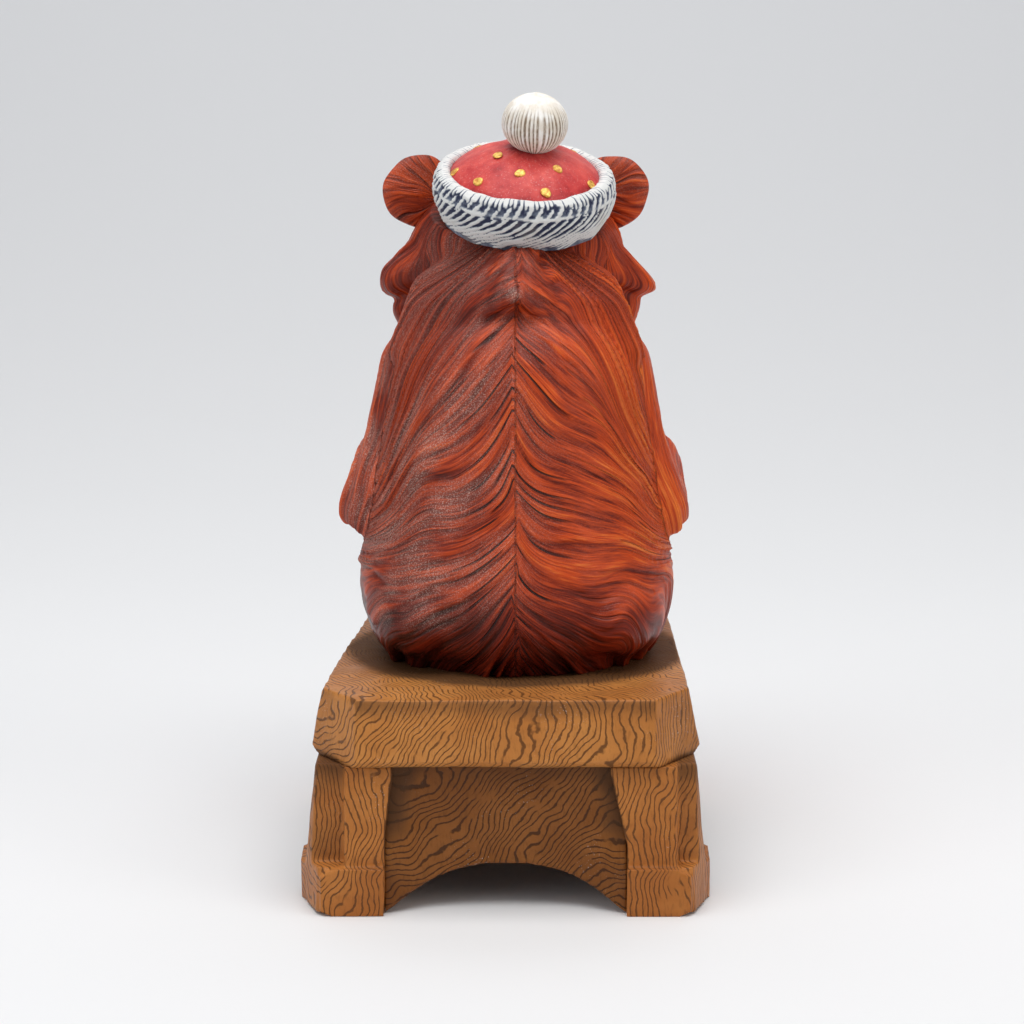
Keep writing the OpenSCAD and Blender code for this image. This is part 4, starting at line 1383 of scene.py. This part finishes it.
@dataclass
class Hat:
    """A round cap: a roll of carved fur round a painted dome, with a ribbed bobble."""

    stand: Stand
    at: Triple = (-1.9, -8.3, 149.8)
    lean: float = 20.0
    roll: float = 2.5
    crown: float = 17.2
    dome: float = 6.5
    dome_edge: float = 16.4
    tall: float = 11.0
    trim: Sequence[tuple[float, float]] = ((17.3, -11.0), (17.2, -1.2), (16.3, -0.3), (16.8, 0.45),
                                           (18.1, 0.75), (19.3, 0.1), (19.95, -1.4), (20.1, -3.2),
                                           (19.9, -5.0), (19.4, -6.8), (18.6, -8.6), (17.7, -10.2),
                                           (17.4, -11.0))
    strands: int = 54
    bobble: float = 7.1
    bobble_off: float = 1.6
    bobble_sink: float = 1.5
    ribs: int = 44
    dots: Sequence[tuple[float, float]] = ((6, 10.5), (44, 14.4), (-18, 14.8), (-43, 10.2),
                                           (-66, 15.8), (57, 7.2), (79, 15.6), (132, 14.4),
                                           (165, 11.6), (-134, 14.8), (-168, 15.4))
    dot: float = 1.15

    def on_head(self, piece: bpy.types.Object) -> None:
        """Moves a piece made upright at the origin to where the hat sits."""
        turn = (Matrix.Rotation(math.radians(-self.roll), 4, "Y")
                @ Matrix.Rotation(math.radians(-self.lean), 4, "X"))
        piece.matrix_world = Matrix.Translation(self.stand.metres(*self.at)) @ turn
        set_in_place(piece)

    def dome_ball(self) -> float:
        """The radius of the ball that the dome is part of, in millimetres."""
        return (self.dome_edge ** 2 + self.dome ** 2) / (2 * self.dome)

    def trim_outline(self, t: np.ndarray) -> tuple[np.ndarray, np.ndarray, np.ndarray]:
        """The roll's section at parts t of the way round it, from 0 to 1.

        Args:
            t: Where on the section, starting at the foot of its inner wall.

        Returns:
            The radius, the height and the distance walked, in millimetres.
        """
        corner = np.array(self.trim)
        step = np.hypot(*np.diff(corner, axis=0).T)
        walked = np.concatenate(([0.0], np.cumsum(step)))
        here = t * walked[-1]
        return np.interp(here, walked, corner[:, 0]), np.interp(here, walked, corner[:, 1]), here

    def fur_roll(self) -> bpy.types.Object:
        """The roll of fur, with slanting strands that steepen towards its rim."""
        put_down_everything()
        middle = 18.7
        bpy.ops.mesh.primitive_torus_add(major_segments=432, minor_segments=88,
                                         major_radius=middle * MM, minor_radius=MM)
        roll = bpy.context.object
        roll.name = roll.data.name = "fur_trim"
        p = points_of(roll)
        bearing = np.arctan2(p[:, 0], p[:, 1])
        t = np.arctan2(p[:, 2], np.hypot(p[:, 0], p[:, 1]) - middle)
        t = np.mod(-t / (2 * np.pi) + 0.62, 1.0)
        radius, height, here = self.trim_outline(t)
        rim = 12.3
        down = here - rim
        rng = np.random.default_rng(8)
        shift = rng.uniform(-0.2, 0.2, (self.strands, 4))
        width = rng.uniform(0.75, 1.25, (self.strands, 4))
        ends = rng.uniform(-0.7, 0.7, (self.strands, 4))
        strand = np.zeros(len(p))
        rows = ((-2.4, 3.4, 2, 0.74, 0.00), (2.4, 5.8, 1, 0.40, 0.07), (4.9, 10.6, 1, 0.52, 0.085),
                (8.2, 13.8, 1, 0.86, 0.10))
        for row, (start, end, many, wide, bend) in enumerate(rows):
            u = -bearing * self.strands * many / (2 * np.pi)
            u = u + 0.5 * row + bend * np.clip(down, 0, None) ** 2 / 2.35 * many
            cell = np.floor(u).astype(int)
            pick = cell % self.strands
            du = 2.0 * (u - cell - 0.5) + shift[pick, row]
            first, last = start + ends[pick, row], end + ends[pick, row]
            dv = 2.0 * (down - first) / (last - first) - 1.0
            broad = wide * width[pick, row] * (1.0 - 0.55 * np.clip(dv, -1, 1) ** 2)
            leaf = np.clip(1.0 - (du / broad) ** 2, 0, 1) ** 0.5 * ease(1.0, 0.7, np.abs(dv))
            strand = np.maximum(strand, leaf * (1.0, 0.8, 1.0, 0.72)[row])
        loose = Wander(19)
        around = np.stack((np.cos(bearing), np.sin(bearing)))
        wave = loose.at(6.0 * around[0] + 20, 6.0 * around[1] + 20 + down / 3.0)
        seam = np.exp(-((down - 5.2 - 0.5 * wave) / 0.42) ** 2) * (0.55 + 0.45 * wave)
        strand = np.maximum(strand, seam)
        outside = ease(-2.8, -1.8, down) * ease(14.4, 13.4, down)
        strand *= outside
        foot = ease(9.0, 13.0, down)
        facet = np.abs(np.mod(bearing * 11 / (2 * np.pi) + 0.3, 1.0) - 0.5)
        radius = radius + 0.55 * strand - 0.35 * outside - 0.9 * foot * (facet - 0.25)
        height = height + 0.25 * wave * outside + 0.25 * strand * ease(2.5, 0.0, down)
        move_points(roll, np.stack((radius * np.sin(bearing), radius * np.cos(bearing), height), 1))
        cells = 0.16 * np.exp(-((down - 4.0) / 1.2) ** 2)
        worn = 0.24 * ease(8.5, 11.5, down) + 0.30 * ease(2.6, 1.0, down) + cells
        note_on_points(roll, "strand", np.clip(strand + worn, 0, 1))
        self.on_head(roll)
        return roll

    def painted_dome(self) -> bpy.types.Object:
        """The crown: a shallow dome over a plug that fills the roll."""
        put_down_everything()
        bpy.ops.mesh.primitive_uv_sphere_add(segments=192, ring_count=112, radius=MM)
        crown = bpy.context.object
        crown.name = crown.data.name = "painted_crown"
        p = points_of(crown)
        bearing = np.arctan2(p[:, 0], p[:, 1])
        t = np.arccos(np.clip(p[:, 2], -1, 1)) / np.pi
        top, wall = 0.66, 0.86
        out = np.where(t < top, t / top, np.where(t < wall, 1.0, (1.0 - t) / (1.0 - wall)))
        radius = self.crown * out
        big = self.dome_ball()
        height = self.dome - big + np.sqrt(big ** 2 - radius ** 2)
        edge = float(self.dome - big + math.sqrt(big ** 2 - self.crown ** 2))
        height = np.where(t < top, height, edge - (self.tall + edge) * ease(top, wall, t))
        height = np.where(t >= wall, -self.tall, height)
        gore = np.cos(9.0 * bearing + 0.8 * np.sin(2.0 * bearing))
        height += 0.16 * gore * ease(3.0, 9.0, radius) * (t < top)
        loose = Wander(29)
        height += 0.10 * loose.at(radius / 4.0, 3.0 * np.cos(bearing) + 9) * (t < top)
        move_points(crown, np.stack((radius * np.sin(bearing), radius * np.cos(bearing), height), 1))
        polar = np.stack((bearing, radius, np.where(t < top, 0.0, 1.0)), 1)
        note_on_points(crown, "polar", polar)
        self.on_head(crown)
        return crown

    def gold_dots(self) -> bpy.types.Object:
        """The dots: small drops of thick paint with a raised rim."""
        big = self.dome_ball()
        drops = []
        for number, (bearing, out) in enumerate(self.dots):
            drop = ball((0, 0, 0), (self.dot * MM, self.dot * MM, 0.22 * MM), 28)
            p = points_of(drop)
            reach = np.hypot(p[:, 0], p[:, 1]) / self.dot
            rim = np.exp(-((reach - 0.78) / 0.14) ** 2) * (p[:, 2] > 0)
            p[:, 2] += 0.09 * rim - 0.05 * ease(0.6, 0.2, reach) * (p[:, 2] > 0)
            bent = np.arctan2(p[:, 1], p[:, 0])
            uneven = 1.0 + 0.07 * np.sin(2 * bent + 1.7 * number) + 0.05 * np.sin(3 * bent + number)
            p[:, :2] *= uneven[:, None]
            move_points(drop, p)
            tilt = math.asin(out / big)
            angle = math.radians(bearing)
            lift = self.dome - big + math.sqrt(big ** 2 - out ** 2)
            spot = (out * math.sin(angle) * MM, out * math.cos(angle) * MM, (lift + 0.16) * MM)
            drop.matrix_world = (Matrix.Translation(spot) @ Matrix.Rotation(-angle, 4, "Z")
                                 @ Matrix.Rotation(-tilt, 4, "X"))
            set_in_place(drop)
            drops.append(drop)
        dots = joined(drops, "gold_dots")
        self.on_head(dots)
        return dots

    def ribbed_bobble(self) -> bpy.types.Object:
        """The bobble, gouged from top to bottom into narrow uneven ribs."""
        put_down_everything()
        bpy.ops.mesh.primitive_uv_sphere_add(segments=8 * self.ribs, ring_count=120, radius=MM)
        bobble = bpy.context.object
        bobble.name = bobble.data.name = "ribbed_bobble"
        p = points_of(bobble)
        bearing = np.arctan2(p[:, 1], p[:, 0])
        high = np.clip(p[:, 2], -1, 1)
        swing = 0.20 * np.sin(5 * bearing) + 0.14 * np.sin(11 * bearing + 2.0)
        sway = 0.5 * Wander(77).at(3 * np.cos(bearing) + 8, 3 * np.sin(bearing) + 8 + high)
        count = bearing * self.ribs / (2 * np.pi) + swing + sway * 0.5
        groove = (0.5 + 0.5 * np.cos(2 * np.pi * count)) ** 1.6
        number = np.floor(count).astype(int) % self.ribs
        depth = np.random.default_rng(12).uniform(0.55, 1.0, self.ribs)[number]
        open_part = np.clip(1.0 - high ** 8, 0, 1)
        groove *= depth * open_part * (0.2 + 0.8 * ease(0.75, 0.1, high))
        lumpy = 0.14 * Wander(78).at(2 * np.cos(bearing) + 5, 2 * high + 2 * np.sin(bearing) + 5)
        size = self.bobble + 0.15 - 0.42 * groove + lumpy
        move_points(bobble, p * size[:, None] * np.array((1.0, 1.0, 0.9)))
        note_on_points(bobble, "groove", groove)
        lift = self.dome + 0.9 * self.bobble - self.bobble_sink + 0.3
        bobble.matrix_world = (Matrix.Translation((-self.bobble_off * MM, 0.0, lift * MM))
                               @ Matrix.Rotation(math.radians(8.0), 4, "X"))
        set_in_place(bobble)
        self.on_head(bobble)
        return bobble

    def build(self) -> None:
        """Models and dresses every piece of the hat."""
        fitted(self.fur_roll(), "hat_trim", TrimPaint().made())
        fitted(self.painted_dome(), "hat_crown", CrownPaint().made())
        fitted(self.gold_dots(), "", GoldDot().made())
        fitted(self.ribbed_bobble(), "bobble", BobblePaint().made())


# ---------------------------------------------------------------- the stool


@dataclass
class Stool:
    """A low stool: a thick seat on four carved legs, with an arched apron on each side."""

    stand: Stand
    voxel: float = 0.5
    half_w: float = 43.0
    half_d: float = 48.0
    seat_top: float = 45.0
    seat_under: float = 31.0
    seat_hw: float = 40.0
    seat_hd: float = 46.5
    taper: float = 5.0
    corner: tuple[float, float] = (10.0, 14.0)
    block: float = 18.0
    foot: float = 10.0
    strip: tuple[float, float] = (8.2, 10.4)
    strip_lean: tuple[float, float] = (2.2, 4.4)
    step: float = 3.0
    post_back: float = 1.4
    back_foot: tuple[float, float] = (0.8, 0.8)
    back_head: tuple[float, float] = (3.0, 2.4)
    apron: float = 7.0
    apron_back: float = 4.5
    arch: float = 10.0

    def box(self, one: Triple, other: Triple) -> bpy.types.Object:
        """A squared block between two opposite corners, from the stool's middle, in millimetres."""
        put_down_everything()
        bpy.ops.mesh.primitive_cube_add(size=1.0)
        block = bpy.context.object
        middle = [(a + b) / 2 for a, b in zip(one, other)]
        block.scale = [abs(b - a) * MM for a, b in zip(one, other)]
        block.location = (middle[0] * MM, (middle[1] + self.stand.axis[1]) * MM, middle[2] * MM)
        set_in_place(block)
        return block

    def sawn(self, block: bpy.types.Object, at: Triple, away: Triple) -> None:
        """Saws a corner off a block, and keeps what the normal points away from."""
        pick_up(block)
        bpy.ops.object.mode_set(mode="EDIT")
        bpy.ops.mesh.select_all(action="SELECT")
        place = (at[0] * MM, (at[1] + self.stand.axis[1]) * MM, at[2] * MM)
        facing = Vector(away).normalized()
        bpy.ops.mesh.bisect(plane_co=place, plane_no=facing, use_fill=True, clear_outer=True)
        bpy.ops.object.mode_set(mode="OBJECT")

    def worked(self, board: bpy.types.Object, seed: int, uneven: float = 0.16,
               soften: int = 3) -> np.ndarray:
        """Eases a board's edges and leaves its faces a little uneven, as a knife does.

        Args:
            board: The sawn board.
            seed: The number that its unevenness grows from.
            uneven: How far its faces wander, in millimetres.
            soften: How often its edges are eased.

        Returns:
            The board's points from the stool's middle, in millimetres.
        """
        finish_with(board, "REMESH", mode="VOXEL", voxel_size=self.voxel * MM)
        finish_with(board, "SMOOTH", factor=0.5, iterations=soften)
        p, out = points_of(board), outward_of(board)
        loose, chips = Wander(seed), Wander(seed + 1)
        sweep = loose.at(p[:, 0] / 11 + p[:, 2] / 9, p[:, 1] / 12 - p[:, 2] / 8)
        small = chips.at(p[:, 0] / 3.1 + p[:, 2] / 2.7, p[:, 1] / 3.3 - p[:, 2] / 2.9)
        p += out * (uneven * (sweep + 0.3 * small))[:, None]
        p[:, 2] = np.maximum(p[:, 2], 0.0)
        move_points(board, p)
        return p - np.array((0.0, self.stand.axis[1], 0.0))

    def seat(self) -> bpy.types.Object:
        """The seat: a slab with sloping sides, cut corners and an eased lower edge."""
        w, d = self.seat_hw, self.seat_hd
        slab = self.box((-w - 1, -d - 1, self.seat_under), (w + 1, d + 1, self.seat_top))
        slope, rise = 2.6, self.seat_top - self.seat_under
        narrow = math.atan2(self.taper, 2 * d - 2 * self.corner[1])
        for sx, sy in ((1, 1), (-1, 1), (1, -1), (-1, -1)):
            edge = w - (self.taper if sx > 0 and sy < 0 else 0.0)
            away = (sx * self.corner[1], sy * self.corner[0], 2.0)
            at = (sx * (edge + 0.6), sy * (d - self.corner[1] + 0.5), self.seat_under + 2.0)
            self.sawn(slab, at, away)
        self.sawn(slab, (w + 0.6, d - self.corner[1], 0), (math.cos(narrow), -math.sin(narrow), 0))
        for axis, half, sign in ((0, w, 1), (0, w, -1), (1, d, 1), (1, d, -1)):
            side, under = [0.0, 0.0, slope / rise], [0.0, 0.0, -1.0]
            side[axis], under[axis] = float(sign), float(sign)
            at = [0.0, 0.0, self.seat_under + 1.4]
            at[axis] = sign * (half + 0.6)
            if axis == 0 and sign > 0:
                side[1], at[1] = -math.sin(narrow), d - self.corner[1]
            self.sawn(slab, tuple(at), tuple(side))
            self.sawn(slab, tuple(at), tuple(under))
        slab.name = slab.data.name = "seat_slab"
        p = self.worked(slab, 101, 0.2)
        out = outward_of(slab)
        q = p + np.array((0.0, self.stand.axis[1], 0.0)) - np.array(self.stand.axis)
        # Painted shadow, with soiling, in a ring round where the bear sits; painted shade along the top of
        # the rear face, on the side corners and along the lower edge; the whole top a little darker.
        ring = np.hypot(q[:, 0] / 33.0, (q[:, 1] + 1.0) / 30.5) * 32.0 - 32.0
        top = ease(0.5, 0.9, out[:, 2])
        shadow_ring_and_soiling = ease(7.5, 0.0, ring) * top * 0.9
        rear = ease(0.5, 0.9, out[:, 1])
        under_edge = ease(self.seat_top - 7.0, self.seat_top - 1.0, p[:, 2]) * rear * 0.62
        corner = ease(w - 9.0, w - 3.0, np.abs(p[:, 0])) * ease(0.9, 0.6, out[:, 1]) * (1 - top) * 0.4
        low = ease(self.seat_under + 1.6, self.seat_under, p[:, 2]) * 0.6
        note_on_points(slab, "grime_and_shade", np.clip(shadow_ring_and_soiling + under_edge + corner + low + 0.3 * top, 0, 1))
        return slab

    def leg(self, sx: float, sy: float, name: str, seed: int) -> bpy.types.Object:
        """One leg: a post with two proud strips on a block-shaped foot.

        Args:
            sx: 1 for the stool's left, -1 for its right.
            sy: 1 for the rear, -1 for the front.
            name: The piece's name.
            seed: The number that its unevenness grows from.

        Returns:
            The leg.
        """
        x0, y0 = self.half_w - self.block, self.half_d - self.block
        post_w, post_d = self.half_w - self.post_back, self.half_d - self.post_back
        post = self.box((sx * x0, sy * y0, 0.5), (sx * post_w, sy * post_d, self.seat_under))
        rise = self.seat_under - self.foot
        lean_x = (self.back_head[0] - self.back_foot[0]) / rise
        lean_y = (self.back_head[1] - self.back_foot[1]) / rise
        at = (sx * post_w, sy * post_d, self.foot)
        self.sawn(post, at, (sx, 0, lean_x))
        self.sawn(post, at, (0, sy, lean_y))
        self.sawn(post, (sx * (post_w - 3.0), sy * post_d, self.foot), (sx * 0.9, sy * 0.35, 0.05))
        strip = self.strip[0 if sx > 0 else 1]
        notch = self.half_d - self.back_head[1] - self.step
        cutter = self.box((sx * (x0 + strip), sy * notch, self.foot),
                          (sx * (self.half_w + 6), sy * (self.half_d + 6), self.seat_under + 4))
        finish_with(post, "BOOLEAN", object=cutter, operation="DIFFERENCE", solver="EXACT")
        bpy.data.objects.remove(cutter)
        lean = self.strip_lean[0 if sx > 0 else 1]
        wedge = self.box((sx * (x0 - lean), sy * (self.half_d - self.apron_back - 1.0), self.foot - 0.5),
                         (sx * (x0 + 2), sy * post_d, self.seat_under))
        self.sawn(wedge, (sx * (x0 + 0.6), 0, self.foot + 2.0), (-sx * rise, 0, -lean - 0.6))
        self.sawn(wedge, at, (0, sy, lean_y))
        foot = self.box((sx * x0, sy * y0, 0.0), (sx * self.half_w, sy * self.half_d, self.foot))
        turn = (sx * self.half_w, sy * (self.half_d - 12))
        self.sawn(foot, (*turn, 0), (sx * 12, sy * 5, 0))
        self.sawn(foot, (*turn, self.foot - 1.6), (sx * 0.5, sy * 0.2, 1.0))
        self.sawn(foot, (sx * (self.half_w - 5), sy * self.half_d, 1.0), (sx * 0.5, sy * 0.3, -1.0))
        leg = joined([post, wedge, foot], name)
        p = self.worked(leg, seed, 0.14)
        out = outward_of(leg)
        # Painted shade beside the proud strip, under the seat, on the inner faces and on faces turned down;
        # the scribed line over the foot is a dark cut line.
        side, rear = sx * p[:, 0], sy * p[:, 1]
        cut = ease(x0 + strip - 0.5, x0 + strip + 0.6, side) * ease(self.foot - 1, self.foot + 2, p[:, 2])
        cut *= ease(self.half_d - 2.4, self.half_d - 4.0, rear)
        high = ease(self.seat_under - 9.0, self.seat_under, p[:, 2])
        inner = ease(0.3, 0.8, -sx * out[:, 0]) * ease(self.foot - 2, self.foot + 3, p[:, 2])
        under = ease(0.3, 0.8, -out[:, 2])
        faces = np.clip(0.42 * cut + 0.35 * high + 0.8 * inner + 0.35 * under, 0, 1)
        scribe = np.exp(-((p[:, 2] - self.foot - 0.2) / 0.35) ** 2) * (side < x0 + strip)
        note_on_points(leg, "grime_and_shade", np.clip(faces + 0.5 * scribe, 0, 1))
        return leg

    def board(self, half: float, name: str, seed: int, along_x: bool, sign: float) -> bpy.types.Object:
        """One apron: a board arched underneath, flaring forward where it meets the feet.

        Args:
            half: Half of its length.
            name: The piece's name.
            seed: The number that its unevenness grows from.
            along_x: Whether it runs from left to right.
            sign: Which side of the stool it closes.

        Returns:
            The apron.
        """
        put_down_everything()
        bpy.ops.mesh.primitive_cube_add(size=2.0 * MM)
        board = bpy.context.object
        board.name = board.data.name = name
        bpy.ops.object.mode_set(mode="EDIT")
        bpy.ops.mesh.select_all(action="SELECT")
        bpy.ops.mesh.subdivide(number_cuts=31)
        bpy.ops.object.mode_set(mode="OBJECT")
        p = points_of(board)
        span = half - 0.5
        big = (span ** 2 + self.arch ** 2) / (2 * self.arch)
        run = p[:, 0] * half
        under = self.arch - big + np.sqrt(np.clip(big ** 2 - run ** 2, 0, None))
        under = np.clip(under, 0.0, None)
        up = under + (p[:, 2] + 1) / 2 * (self.seat_under - under)
        thick = p[:, 1] * self.apron / 2
        near = ease(half - 11.0, half, np.abs(run)) * ease(22.0, 8.0, up)
        thick += 2.6 * near * (p[:, 1] + 1) / 2
        middle = (self.half_d if along_x else self.half_w) - self.apron_back - self.apron / 2
        if along_x:
            q = np.stack((run * -sign, sign * (middle + thick), up), 1)
        else:
            q = np.stack((sign * (middle + thick), run * sign, up), 1)
        q[:, 1] += self.stand.axis[1]
        move_points(board, q)
        p = self.worked(board, seed, 0.2)
        run = np.abs(p[:, 0] if along_x else p[:, 1])
        # Painted shade under the seat and at the ends next to the legs.
        high = ease(self.seat_under - 8.0, self.seat_under, p[:, 2])
        ends = ease(half - 9.0, half - 1.5, run) * (0.35 + 0.5 * ease(12.0, 20.0, p[:, 2]))
        note_on_points(board, "grime_and_shade", np.clip(0.5 * high + ends, 0, 1))
        return board

    def build(self) -> None:
        """Models and dresses the seat, the legs and the aprons."""
        grain = GrainedStain()
        shaded = GrainedStain(ground=(0.195, 0.064, 0.012), pale=(0.26, 0.092, 0.020),
                              line=(0.042, 0.015, 0.005))
        redder = GrainedStain(ground=(0.390, 0.130, 0.028), pale=(0.50, 0.188, 0.044))
        fitted(self.seat(), "seat_board",
               grain.made("seat_grain", 2.3, (600, 330, 230), (0.0, 0.0, 0.0)))
        inner_w, inner_d = self.half_w - self.block, self.half_d - self.block
        for number, (half, node, along_x, sign) in enumerate(((inner_w, "apron_rear", True, 1.0),
                                                              (inner_w, "apron_front", True, -1.0),
                                                              (inner_d, "apron_left", False, 1.0),
                                                              (inner_d, "apron_right", False, -1.0))):
            finish = shaded.made(node + "_grain", 5.1 + 1.7 * number, (330, 330, 470),
                                 (0.01 * number, 0, 0))
            fitted(self.board(half, "arched_" + node, 131 + 2 * number, along_x, sign), node,
                   finish)
        for number, (sx, sy, node) in enumerate(((1.0, 1.0, "stool_leg_rear_left"),
                                                 (-1.0, 1.0, "stool_leg_rear_right"),
                                                 (1.0, -1.0, "stool_leg_front_left"),
                                                 (-1.0, -1.0, "stool_leg_front_right"))):
            finish = redder.made(node + "_grain", 15.7 + 2.9 * number, (600, 420, 80),
                                 (0.0, 0.02 * number, 0))
            fitted(self.leg(sx, sy, "carved_" + node, 151 + 2 * number), node, finish)


# ---------------------------------------------------------------- studio


@dataclass
class Studio:
    """A pale floor that curves up behind the figure, soft lights and a camera."""

    camera_at: Triple = (-1.3, 513.0, 164.5)
    camera_pitch: float = 10.0
    lens: float = 81.07
    floor_white: Triple = (0.82, 0.82, 0.82)
    bend_from: float = 0.30
    bend: float = 2.2

    def floor(self) -> None:
        """A wide sheet of pale board that curves up gently behind the figure."""
        put_down_everything()
        bpy.ops.mesh.primitive_plane_add(size=1.0)
        sheet = bpy.context.object
        sheet.name = "backdrop"
        sheet.scale = (8.0, 1.9, 1.0)
        sheet.location = (0.0, 0.95 - self.bend_from, 0.0)
        set_in_place(sheet)
        bpy.ops.object.mode_set(mode="EDIT")
        bpy.ops.mesh.select_mode(type="EDGE")
        bpy.ops.mesh.select_all(action="DESELECT")
        bpy.ops.object.mode_set(mode="OBJECT")
        for edge in sheet.data.edges:
            edge.select = max(sheet.data.vertices[i].co.y for i in edge.vertices) < 0.01 - self.bend_from
        bpy.ops.object.mode_set(mode="EDIT")
        steps = 24
        for step in range(steps):
            turn = math.radians(90.0 * (step + 0.5) / steps)
            reach = self.bend * math.radians(90.0 / steps)
            move = (0, -reach * math.cos(turn), reach * math.sin(turn))
            bpy.ops.mesh.extrude_region_move(TRANSFORM_OT_translate={"value": move})
        bpy.ops.mesh.extrude_region_move(TRANSFORM_OT_translate={"value": (0, 0, 1.5)})
        bpy.ops.mesh.select_all(action="SELECT")
        bpy.ops.mesh.normals_make_consistent(inside=False)
        bpy.ops.object.mode_set(mode="OBJECT")
        smooth_shaded(sheet)
        s = Shade("studio_board")
        scuff = s.noise(s.place((160, 900, 160)), 1.0, 3, 0.7)
        worn = s.span(scuff, 0.66, 0.8, 0.0, 0.25)
        white = s.blend(worn, self.floor_white, (0.70, 0.69, 0.68))
        dress(sheet, s.done(Base_Color=white, Roughness=0.75, Specular_IOR_Level=0.2))

    @staticmethod
    def lamp(name: str, at: Triple, towards: Triple, size: tuple[float, float], power: float,
             tint: Triple = (1, 1, 1)) -> None:
        """One soft box, aimed at a point."""
        light = bpy.data.lights.new(name, "AREA")
        light.shape = "RECTANGLE"
        light.size, light.size_y = size
        light.energy = power
        light.color = tint
        obj = bpy.data.objects.new(name, light)
        bpy.context.scene.collection.objects.link(obj)
        obj.location = at
        obj.rotation_euler = (Vector(towards) - Vector(at)).to_track_quat("-Z", "Y").to_euler()

    def build(self) -> None:
        """Sets up the floor, the lights, the air and the camera."""
        self.floor()
        aim = (0.0, 0.0, 0.08)
        self.lamp("top_box", (0.0, 0.22, 0.95), aim, (0.9, 0.7), 7.6)
        self.lamp("left_box", (0.85, 0.55, 0.55), aim, (0.6, 0.7), 2.3, (0.95, 0.97, 1.0))
        self.lamp("right_box", (-0.85, 0.45, 0.50), aim, (0.5, 0.6), 2.0, (1.0, 0.97, 0.93))
        self.lamp("far_box", (0.0, -1.1, 1.5), (0.0, -1.6, 0.2), (2.4, 1.2), 11.5, (0.97, 0.98, 1.0))
        world = bpy.data.worlds.new("pale_air")
        world.use_nodes = True
        back = world.node_tree.nodes["Background"]
        back.inputs["Color"].default_value = (0.90, 0.93, 1.0, 1.0)
        back.inputs["Strength"].default_value = 0.235
        bpy.context.scene.world = world
        bpy.context.scene.view_settings.view_transform = "Standard"
        camera = bpy.data.objects.new("camera", bpy.data.cameras.new("camera"))
        bpy.context.scene.collection.objects.link(camera)
        camera.data.lens = self.lens
        camera.data.clip_start = 0.01
        camera.location = tuple(v * MM for v in self.camera_at)
        camera.rotation_euler = (math.radians(90.0 - self.camera_pitch), 0.0, math.pi)
        bpy.context.scene.camera = camera


def plain_dress() -> None:
    """Dresses the hidden joinery in its own woods and metals."""
    dowel, steel = RawDowel().made(), ZincSteel().made()
    for name in ("leg_dowels", "shoulder_dowels", "hip_dowels", "neck_dowel", "hat_dowel"):
        dress(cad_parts[name], dowel)
    for name in ("seat_screws", "bobble_pin"):
        dress(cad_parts[name], steel)


def main() -> None:
    """Builds and dresses the figure, then the studio round it."""
    logging.basicConfig(level=logging.INFO, format="%(name)s: %(message)s")
    stand = Stand()
    BearCarving(stand).build()
    Ears(stand).build()
    Face(stand).build()
    Hat(stand).build()
    Stool(stand).build()
    plain_dress()
    Studio().build()


if __name__ == "__main__":
    main()
